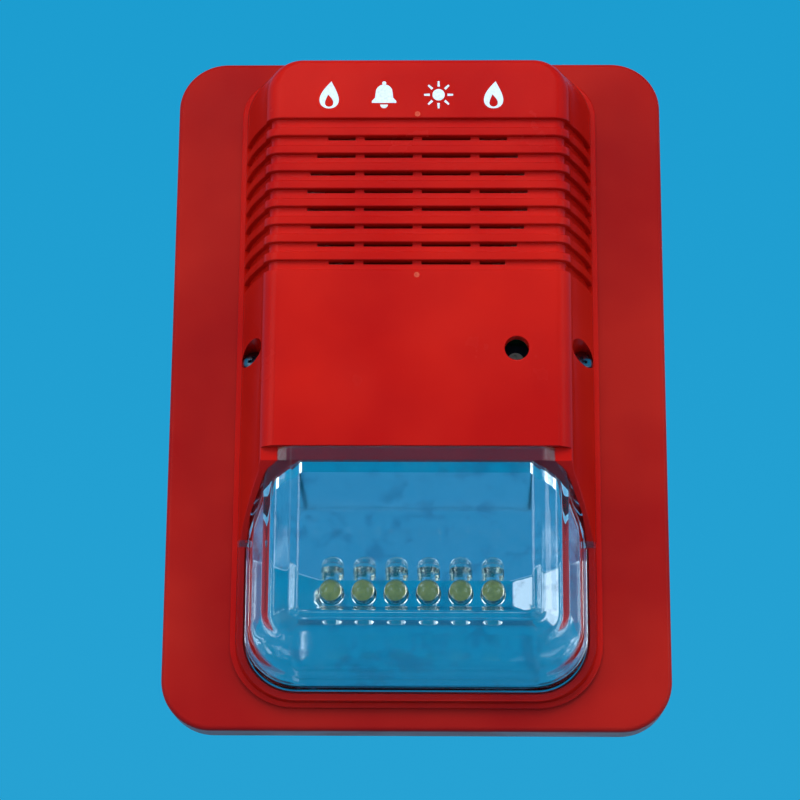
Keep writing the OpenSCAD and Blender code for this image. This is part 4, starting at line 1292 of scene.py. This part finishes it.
# %% Sounder
CUP_BACK = 8
CERAMIC_R = 15
EAR_R = 3.2
INNER_LEAD_X = -9
cup_outer = cup_r + 1.5
disc_r = cup_r - 3.2
seat_r = disc_r - 1.5
outer_lead_x = -(CERAMIC_R + seat_r) / 2
disc_t = (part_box("sound_plate")[1].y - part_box("sound_plate")[0].y) / MM


def sounder_cup():
    profile = [(1.2, CUP_BACK), (cup_outer - 0.6, CUP_BACK), (cup_outer - 0.15, CUP_BACK + 0.2),
               (cup_outer, CUP_BACK + 0.6), (cup_outer, inner_z - 0.3), (cup_outer - 0.3, inner_z),
               (cup_r + 0.3, inner_z), (cup_r, inner_z - 0.3), (cup_r, cup_seat), (seat_r, cup_seat),
               (seat_r, CUP_BACK + 1.6), (seat_r - 0.2, CUP_BACK + 1.4), (1.2, CUP_BACK + 1.4)]
    cup = lathe("sounder_cup_shell", profile, 0, grille_y, steps=96, closed=True)
    for x, y in EARS:
        out = Vector((x, y - grille_y)).normalized()
        side = Vector((-out.y, out.x))
        near = out * (cup_outer - 1.2)
        far = Vector((x, y - grille_y))
        corners = [near - side * EAR_R, far - side * EAR_R]
        corners += [far + (out * sin(radians(a)) - side * cos(radians(a))) * EAR_R
                    for a in range(15, 180, 15)]
        corners += [far + side * EAR_R, near + side * EAR_R]
        ear = loft("ear", [[(c.x, c.y + grille_y, z) for c in corners] for z in (cup_seat, cup_seat + 2)])
        hole = lathe("hole", [(1.4, cup_seat - 1), (1.4, cup_seat + 3)], x, y, steps=24)
        cut(ear, hole)
        join(cup, ear)
    return cut(cup, block("lead way", -20, -6, grille_y - 1.5, grille_y + 1.5, CUP_BACK - 1, CUP_BACK + 2.4))


def turned(name, r, z0, z1, edge):
    return lathe(name, [(0, z0), (r - edge, z0), (r, z0 + edge), (r, z1 - edge), (r - edge, z1), (0, z1)],
                 0, grille_y, steps=96)


dress(sounder_cup(), "cover", "cup_black", cup_black, "sounder_cup")
seal_z = cup_seat + disc_t
disc = turned("sound_disc", disc_r, cup_seat, seal_z, 0.06)
# The disc's dark brass is painted shade behind the slots.
dress(disc, "cover", "plate_brass", shade_darkened_brass, "sound_plate")
ceramic = turned("sound_ceramic_disc", CERAMIC_R, cup_seat - 0.3, cup_seat, 0.05)
dress(ceramic, "cover", "ceramic_silver", ceramic_silver, "sound_ceramic")
seal = lathe("sounder_seal_ring", [
    (cup_r - 0.3, seal_z), (cup_r - 0.1, seal_z + 0.4), (cup_r - 0.1, seal_z + 1.2),
    (cup_r - 0.4, seal_z + 1.6), (disc_r - 1.1, seal_z + 1.6), (seat_r, seal_z + 1.3), (seat_r, seal_z)],
    0, grille_y, steps=96, closed=True)
dress(seal, "cover", "seal_white", seal_white, "sounder_seal", crease=50)
print("sounder: cup, disc, ceramic and seal")

# %% [markdown]
# ## Boards and their solder joints
#
# Both boards are cut sheets with broken corners. Every leg that comes through is soldered: a small bright
# cone, wetted out on its pad. There are dozens, all alike, so one cone of a few dozen faces stands on a
# list of points. The points follow the parts on the other side of the board.

# %% Boards
CAN_X = -17
CAN_PITCH = 9.5
CHOKE_X = 3
TALL_Y = -8
FLAT_Y = 3
RESISTORS = 5
RESISTOR_X = 4
RESISTOR_PITCH = 2.8
DIODES = 4
DIODE_X = -13
DIODE_PITCH = 3.6
LEG_SPAN = 7.6


def board(name, half, top, bottom, r, z0, holes):
    sheet = slab(name, half, top, bottom, r, z0, z0 + BOARD_T, edge=0.15)
    return cut(sheet, *[lathe("hole", [(hole_r, z0 - 1), (hole_r, z0 + 3)], x, y, steps=24)
                        for x, y, hole_r in holes])


main = board("main_board_sheet", 28, 62.5, -15.5, 3, BOARD_Z, [(x, y, 1.4) for x, y in BOARD_POSTS])
dress(main, "cover", "board_green", board_green, "main_board")
light_legs = [(first_led + i * led_pitch + s * LEG_X, led_y) for i in range(LEDS) for s in (-1, 1)]
strip = board("led_board_sheet", strip_half_w + 6.5, led_y + 6, led_y - 6, 1, led_board_z - BOARD_T,
              [(s * led_screw_x, led_y, 1.4) for s in (-1, 1)] + [(x, y, 0.45) for x, y in light_legs])
dress(strip, "cover", "board_green", board_green, "led_board")


def solder_cone():
    return lathe("cone", [
        (0, 0.15), (0.95, 0.12), (0.92, -0.05), (0.55, -0.25), (0.36, -0.6), (0.3, -0.95), (0, -1.05)],
        steps=14)


def rows(xs, ys):
    return [(x, y) for x in xs for y in ys]


POLE_XS = [(i - 1.5) * 5 for i in range(4)]
joints = rows(POLE_XS, [17])
joints += rows([DIODE_X + i * DIODE_PITCH for i in range(DIODES)], [-0.6, 6.6])
joints += rows([RESISTOR_X + i * RESISTOR_PITCH for i in range(RESISTORS)], [-0.6, 6.6])
joints += rows([x + side for x in (CAN_X, CAN_X + CAN_PITCH, CHOKE_X) for side in (-1.25, 1.25)], [TALL_Y])
joints += [(adjust_x - 2.5, adjust_y - 2.5), (adjust_x + 2.5, adjust_y - 2.5), (adjust_x, adjust_y + 2.5)]
joints += rows([-25.27, -24, -22.73], [3.2]) + [(outer_lead_x, grille_y), (INNER_LEAD_X, grille_y)]
solder = at_points("main_board_solder", solder_cone(), [(x, y, BOARD_Z) for x, y in joints], tin)
dress(solder, "cover", "tinned_legs", None, crease=50)
light_solder = at_points("led_board_solder", solder_cone(),
                         [(x, y, led_board_z - BOARD_T) for x, y in light_legs], tin)
dress(light_solder, "cover", "tinned_legs", None, crease=50)
print(len(joints) + len(light_legs), "solder joints")

# %% [markdown]
# ## The parts on the boards
#
# Cans, coils and resistors are turned, and the square parts are blocks with broken edges. A copper winding
# is a row of small crests on the coil's profile. The resistors carry generic colour bands, which tell
# their value: each band is a face material chosen by how far along the body the face lies.

# %% Turned parts
can_top = metal("can top", rgb(196, 198, 202), rgb(160, 162, 166), 0.35, 0.3)
copper = metal("winding copper", rgb(196, 112, 66), rgb(150, 76, 40), 0.3, 0.2)
band_finishes = [dull("band " + n, c, c, 0.4, 0.2, 0.003) for n, c in (
    ("brown", rgb(96, 52, 28)), ("red", rgb(176, 30, 24)), ("gold", rgb(190, 152, 72)))]


def swept(name, path, r, sides=10):
    """A round wire along points."""
    points = [Vector(p) for p in path]
    rings = []
    for i, point in enumerate(points):
        back = (point - points[max(i - 1, 0)]).normalized()
        ahead = (points[min(i + 1, len(points) - 1)] - point).normalized()
        along = (back + ahead).normalized()
        u = along.cross(Vector((1, 0.02, 0))).normalized()
        v = along.cross(u)
        rings.append([tuple(point + r * (cos(2 * pi * k / sides) * u + sin(2 * pi * k / sides) * v))
                      for k in range(sides)])
    return loft(name, rings)


def axial_body(profile, x, y, z):
    """A turned body laid down along y. The profile's heights are measured from its middle."""
    body = lathe("body", profile, steps=24)
    lay_down = Matrix.Rotation(radians(90), 4, "X")
    to_middle = Matrix.Translation(-Vector(stand(0, 0, 0)))
    body.data.transform(Matrix.Translation(stand(x, y, z)) @ lay_down @ to_middle)
    return body


def bent_legs(x, z):
    low = board_face - 0.3
    near, far = FLAT_Y - LEG_SPAN / 2, FLAT_Y + LEG_SPAN / 2
    return swept("legs", [
        (x, near, low), (x, near, z - 0.5), (x, near + 0.15, z - 0.15), (x, near + 0.5, z),
        (x, far - 0.5, z), (x, far - 0.15, z - 0.15), (x, far, z - 0.5), (x, far, low)], 0.3)


def capacitor():
    z = board_face
    profile = [(0, z + 0.3), (3.4, z + 0.3), (3.8, z), (4, z + 0.4), (4, z + 1.2), (3.75, z + 1.5),
               (3.75, z + 1.8), (4, z + 2.1), (4, z + 10.4), (3.85, z + 10.75), (3.5, z + 10.85),
               (3.35, z + 10.7), (0, z + 10.7)]
    return lathe("capacitor_sleeves", profile, CAN_X, TALL_Y)


def capacitor_top():
    z = board_face + 10.66
    profile = [(0, z), (3.3, z), (3.3, z + 0.12), (3.1, z + 0.2), (0, z + 0.2)]
    top = lathe("capacitor_tops", profile, CAN_X, TALL_Y)
    vents = [block("vent", CAN_X - w, CAN_X + w, TALL_Y - h, TALL_Y + h, z + 0.12, z + 1)
             for w, h in ((2.6, 0.12), (0.12, 2.6))]
    return cut(top, *vents)


def bobbin():
    z = board_face
    profile = [(0, z), (3.8, z), (4, z + 0.2), (4, z + 1.4), (3.8, z + 1.6), (2, z + 1.6), (2, z + 6.9),
               (3.8, z + 6.9), (4, z + 7.1), (4, z + 8.3), (3.8, z + 8.5), (0, z + 8.5)]
    return lathe("choke_bobbin", profile, CHOKE_X, TALL_Y)


def winding():
    low, turns, pitch = board_face + 1.62, 13, 0.4
    profile = [(2.05, low)]
    for i in range(turns):
        profile += [(3.3, low + i * pitch + 0.06), (3.45, low + (i + 0.5) * pitch),
                    (3.3, low + (i + 1) * pitch - 0.06)]
    return lathe("choke_winding", profile + [(2.05, low + turns * pitch)], CHOKE_X, TALL_Y, closed=True)


dress(in_row(capacitor(), 2, (CAN_PITCH, 0, 0), can_sleeve), "cover", "can_sleeve", None, "capacitors")
dress(in_row(capacitor_top(), 2, (CAN_PITCH, 0, 0), can_top), "cover", "tinned_legs", None)
dress(bobbin(), "cover", "ferrite", ferrite, "choke")
dress(winding(), "cover", "plate_brass", copper, crease=60)
print("two cans and a coil")

# %% Resistors and diodes
resistor_z = board_face + 0.9
resistor_profile = [(0, -2), (0.5, -2), (0.8, -1.6), (0.8, -1.1)]
resistor_profile += [(0.68, z) for z in (-0.9, -0.7, -0.4, -0.2, 0.1, 0.3, 0.9)]
resistor_profile += [(0.8, 1.1), (0.8, 1.6), (0.5, 2), (0, 2)]
diode_z = board_face + 1.1
diode_profile = [(0, -1.8), (0.85, -1.8), (1, -1.65), (1, 0.8), (1, 1.3), (1, 1.65), (0.85, 1.8), (0, 1.8)]
bands = {(-0.7, -0.4): 1, (-0.2, 0.1): 2, (1.1, 1.6): 3}


def banded(piece, finishes, ranges):
    """Gives the faces that lie inside a band, counted from the body's middle, that band's finish."""
    for finish in finishes:
        piece.data.materials.append(finish)
    for face in piece.data.polygons:
        along = face.center.z / MM - FLAT_Y
        for (low, high), number in ranges.items():
            if low < along < high:
                face.material_index = number
    return piece


resistor_finishes = (resistor_tan, *band_finishes)
diode_finishes = (chip_black, tin)
resistor = banded(axial_body(resistor_profile, RESISTOR_X, FLAT_Y, resistor_z), resistor_finishes, bands)
diode = banded(axial_body(diode_profile, DIODE_X, FLAT_Y, diode_z), diode_finishes, {(0.8, 1.3): 1})


def plain_row(name, piece, finishes, count, step):
    """A row that keeps the piece's own several finishes."""
    pieces = []
    for i in range(count):
        twin = piece.copy()
        twin.data = piece.data.copy()
        twin.data.transform(Matrix.Translation((i * step * MM, 0, 0)))
        bpy.context.scene.collection.objects.link(twin)
        pieces.append(twin)
    bpy.data.objects.remove(piece)
    joined = as_one(name, pieces)
    for finish in finishes:
        joined.data.materials.append(finish)
    return joined


tan_row = plain_row("resistor_bodies", resistor, resistor_finishes, RESISTORS, RESISTOR_PITCH)
dress(tan_row, "cover", "resistor_tan", None, "resistors")
legs = in_row(bent_legs(RESISTOR_X, resistor_z), RESISTORS, (RESISTOR_PITCH, 0, 0), tin)
dress(legs, "cover", "tinned_legs", None)
black_row = plain_row("diode_bodies", diode, diode_finishes, DIODES, DIODE_PITCH)
dress(black_row, "cover", "diode_black", None, "diodes")
legs = in_row(bent_legs(DIODE_X, diode_z), DIODES, (DIODE_PITCH, 0, 0), tin)
dress(legs, "cover", "tinned_legs", None)
print("resistors and diodes on bent legs")

# %% [markdown]
# ## Leads
#
# Two black leads feed the sounder through its cup, and two red ones the strip of lights. Each runs on a
# smooth curve through a few chosen points, a Catmull-Rom spline, with the insulation as one swept tube.

# %% Leads
def smooth_path(points, steps=6):
    """Points on a curve that passes through all the given ones."""
    ends = [Vector(p) for p in (points[0], *points, points[-1])]
    path = []
    for a, b, c, d in zip(ends, ends[1:], ends[2:], ends[3:]):
        for i in range(steps):
            t = i / steps
            path.append(0.5 * (2 * b + (c - a) * t + (2 * a - 5 * b + 4 * c - d) * t * t
                               + (3 * b - a - 3 * c + d) * t ** 3))
    return path + [ends[-1]]


lead_r = 0.6
sounder_leads = [swept("lead", smooth_path([
    (x, grille_y, board_face), (x, grille_y, board_face + 1.4), (x + 0.5, grille_y, board_face + 3.4),
    (x + 0.5, grille_y, top - 2.6), (x, grille_y, top - 1.2), (x, grille_y, top)]), lead_r)
    for x, top in ((outer_lead_x, cup_seat), (INNER_LEAD_X, cup_seat - 0.3))]
lead_end = led_y + 4.5
low = led_board_z - 2.4
strobe_leads = [swept("lead", smooth_path([
    (x, -12, BOARD_Z), (x, -12, 1.5), (x, -13.2, 0), (x, -17, -1.2), (x, -26, -2.2), (x, lead_end + 5, low),
    (x, lead_end + 1.2, low), (x, lead_end, low + 0.2), (x, lead_end, low + 0.8)]), lead_r) for x in (-9, -6)]
dress(as_one("sounder_lead_pair", sounder_leads), "cover", "lead_black", lead_black, "sounder_leads")
dress(as_one("strobe_lead_pair", strobe_leads), "cover", "lead_red", lead_red, "strobe_leads")
print("four leads")

# %% [markdown]
# ## Parts that stay as the mechanical model has them
#
# Square-cut parts such as the terminal block, its cages, the switch and the trimmer already have their true
# shape. They keep it, and get what a mould gives them: broken edges, from a Bevel modifier over a Weld,
# and a finish.

# %% Carried-over parts
CARRIED = {
    "terminal_block": ("terminal_green", terminal_green, 0.2),
    "terminal_screws": ("screw_steel", screw_steel, 0.1),
    "wire_clamps": ("clamp_brass", brass, 0.12),
    # The trimmer's nearly black blue is painted shade.
    "volume_control": ("trimmer_blue", trimmer_blue, 0.2),
    "volume_rotor": ("rotor_ivory", rotor_ivory, 0.08),
    "switch_body": ("switch_red", switch_red, 0.15),
    "tone_slider": ("slider_white", slider_white, 0.15),
    "flash_slider": ("slider_white", slider_white, 0.15),
    "driver_chip": ("chip_black", chip_black, 0.1),
    "transistor": ("chip_black", chip_black, 0.15),
    "lead_pads": ("tinned_legs", tin, 0.05),
}
for node, (slot, finish, edge) in CARRIED.items():
    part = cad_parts[node]
    part.data.materials.clear()
    part.data.materials.append(finish)
    weld = part.modifiers.new("weld", "WELD")
    weld.merge_threshold = 1e-6
    broken = part.modifiers.new("broken edges", "BEVEL")
    broken.width = edge * MM
    broken.segments = 2
    broken.limit_method = "ANGLE"
    broken.angle_limit = radians(40)
print(len(CARRIED), "parts carried over")

# %% [markdown]
# ## Floor, light and camera
#
# A horn strobe hangs on a wall, but a wall right behind it would hide its back, so it floats over a floor
# in a blue room. The room's colour matters, because the mirror and every sloping red side reflect it.
# The mirror's upper plane looks down at the floor close by, so the floor carries a painted shadow there,
# a deeper blue that the mirror reflects, and is pale further away. A soft box above lights the front
# evenly, one on each side draws lines along the lens's creases, and one behind keeps the back readable.
# The mirror sees none of them, or it would be full of white patches. It does see a small bright panel on
# the left, for the glint on its right side.

# %% Stage
def room():
    world = bpy.data.worlds.new("room")
    bpy.context.scene.world = world
    world.use_nodes = True
    tree = world.node_tree
    back = tree.nodes["Background"]
    direction = shade(tree, "ShaderNodeTexCoord").outputs["Generated"]
    axes = shade(tree, "ShaderNodeSeparateXYZ", {"Vector": direction}).outputs
    wall = blend(tree, between(tree, axes["Z"], -0.2, 0.6), rgb(46, 166, 214), rgb(20, 154, 206))
    front = blend(tree, between(tree, axes["Y"], -0.3, -0.8), wall, rgb(16, 138, 184))
    ceiling = blend(tree, between(tree, axes["Z"], 0.55, 0.85), front, rgb(14, 92, 132))
    tree.links.new(ceiling, back.inputs["Color"])
    back.inputs["Strength"].default_value = 1.0


def soft_box(name, place, width, height, power, mirrored=False, through=False):
    data = bpy.data.lights.new(name, "AREA")
    data.shape = "RECTANGLE"
    data.size = width
    data.size_y = height
    data.energy = power
    lamp = bpy.data.objects.new(name, data)
    lamp.location = place
    lamp.rotation_euler = (-Vector(place)).to_track_quat("-Z", "Y").to_euler()
    lamp.visible_camera = False
    lamp.visible_glossy = mirrored
    lamp.visible_transmission = mirrored or through
    bpy.context.scene.collection.objects.link(lamp)


FLOOR_DEPTH = -0.36
FLOOR_REACH = 3


def pale_floor():
    mesh = bpy.data.meshes.new("floor")
    corners = [(x * FLOOR_REACH, y * FLOOR_REACH, FLOOR_DEPTH)
               for x, y in ((-1, -1), (1, -1), (1, 1), (-1, 1))]
    mesh.from_pydata(corners, [], [(0, 1, 2, 3)])
    floor = bpy.data.objects.new("floor", mesh)
    bpy.context.scene.collection.objects.link(floor)
    finish, tree, shader, spot = new_finish("pale floor", Roughness=0.8, Specular_IOR_Level=0.2)
    far = shade(tree, "ShaderNodeVectorMath", {0: spot}, operation="LENGTH").outputs["Value"]
    weave = speckle(tree, spot, 4, detail=3)
    # Deeper blue near the object is a painted shadow under it, which the mirror also reflects.
    colour = blend(tree, between(tree, far, 0.45, 1.3), rgb(44, 130, 166), rgb(176, 214, 230))
    colour = blend(tree, between(tree, weave, 0.3, 0.7, 0, 0.05), colour, rgb(200, 228, 238))
    tree.links.new(colour, shader.inputs["Base Color"])
    relief(tree, shader, (weave, 0.05))
    mesh.materials.append(finish)


room()
pale_floor()
soft_box("top box", (0, -1.15, 0.85), 1.2, 0.7, 14)
soft_box("front fill", (0, -1.4, -0.3), 0.8, 0.8, 2)
soft_box("left fill", (-1.0, -0.8, 0.0), 0.6, 0.9, 5.5, through=True)
soft_box("right fill", (1.0, -0.8, 0.0), 0.6, 0.9, 5.5, through=True)
soft_box("back fill", (0.5, 1.1, 0.5), 0.9, 0.9, 24)
soft_box("bright panel", (-0.68, -1.0, 0.22), 0.6, 0.75, 1.1, mirrored=True)
bpy.context.scene.view_settings.view_transform = "Standard"

camera_tilt = 105.05
camera_data = bpy.data.cameras.new("camera")
camera_data.lens = 108
camera_data.sensor_width = 36
camera_data.clip_start = 0.01
camera = bpy.data.objects.new("camera", camera_data)
camera.location = (0.0072, -0.5235, -0.1416)
camera.rotation_euler = (radians(camera_tilt), radians(-0.39), radians(1.13))
bpy.context.scene.collection.objects.link(camera)
bpy.context.scene.camera = camera
print("camera looks up by", round(camera_tilt - 90, 2), "degrees")
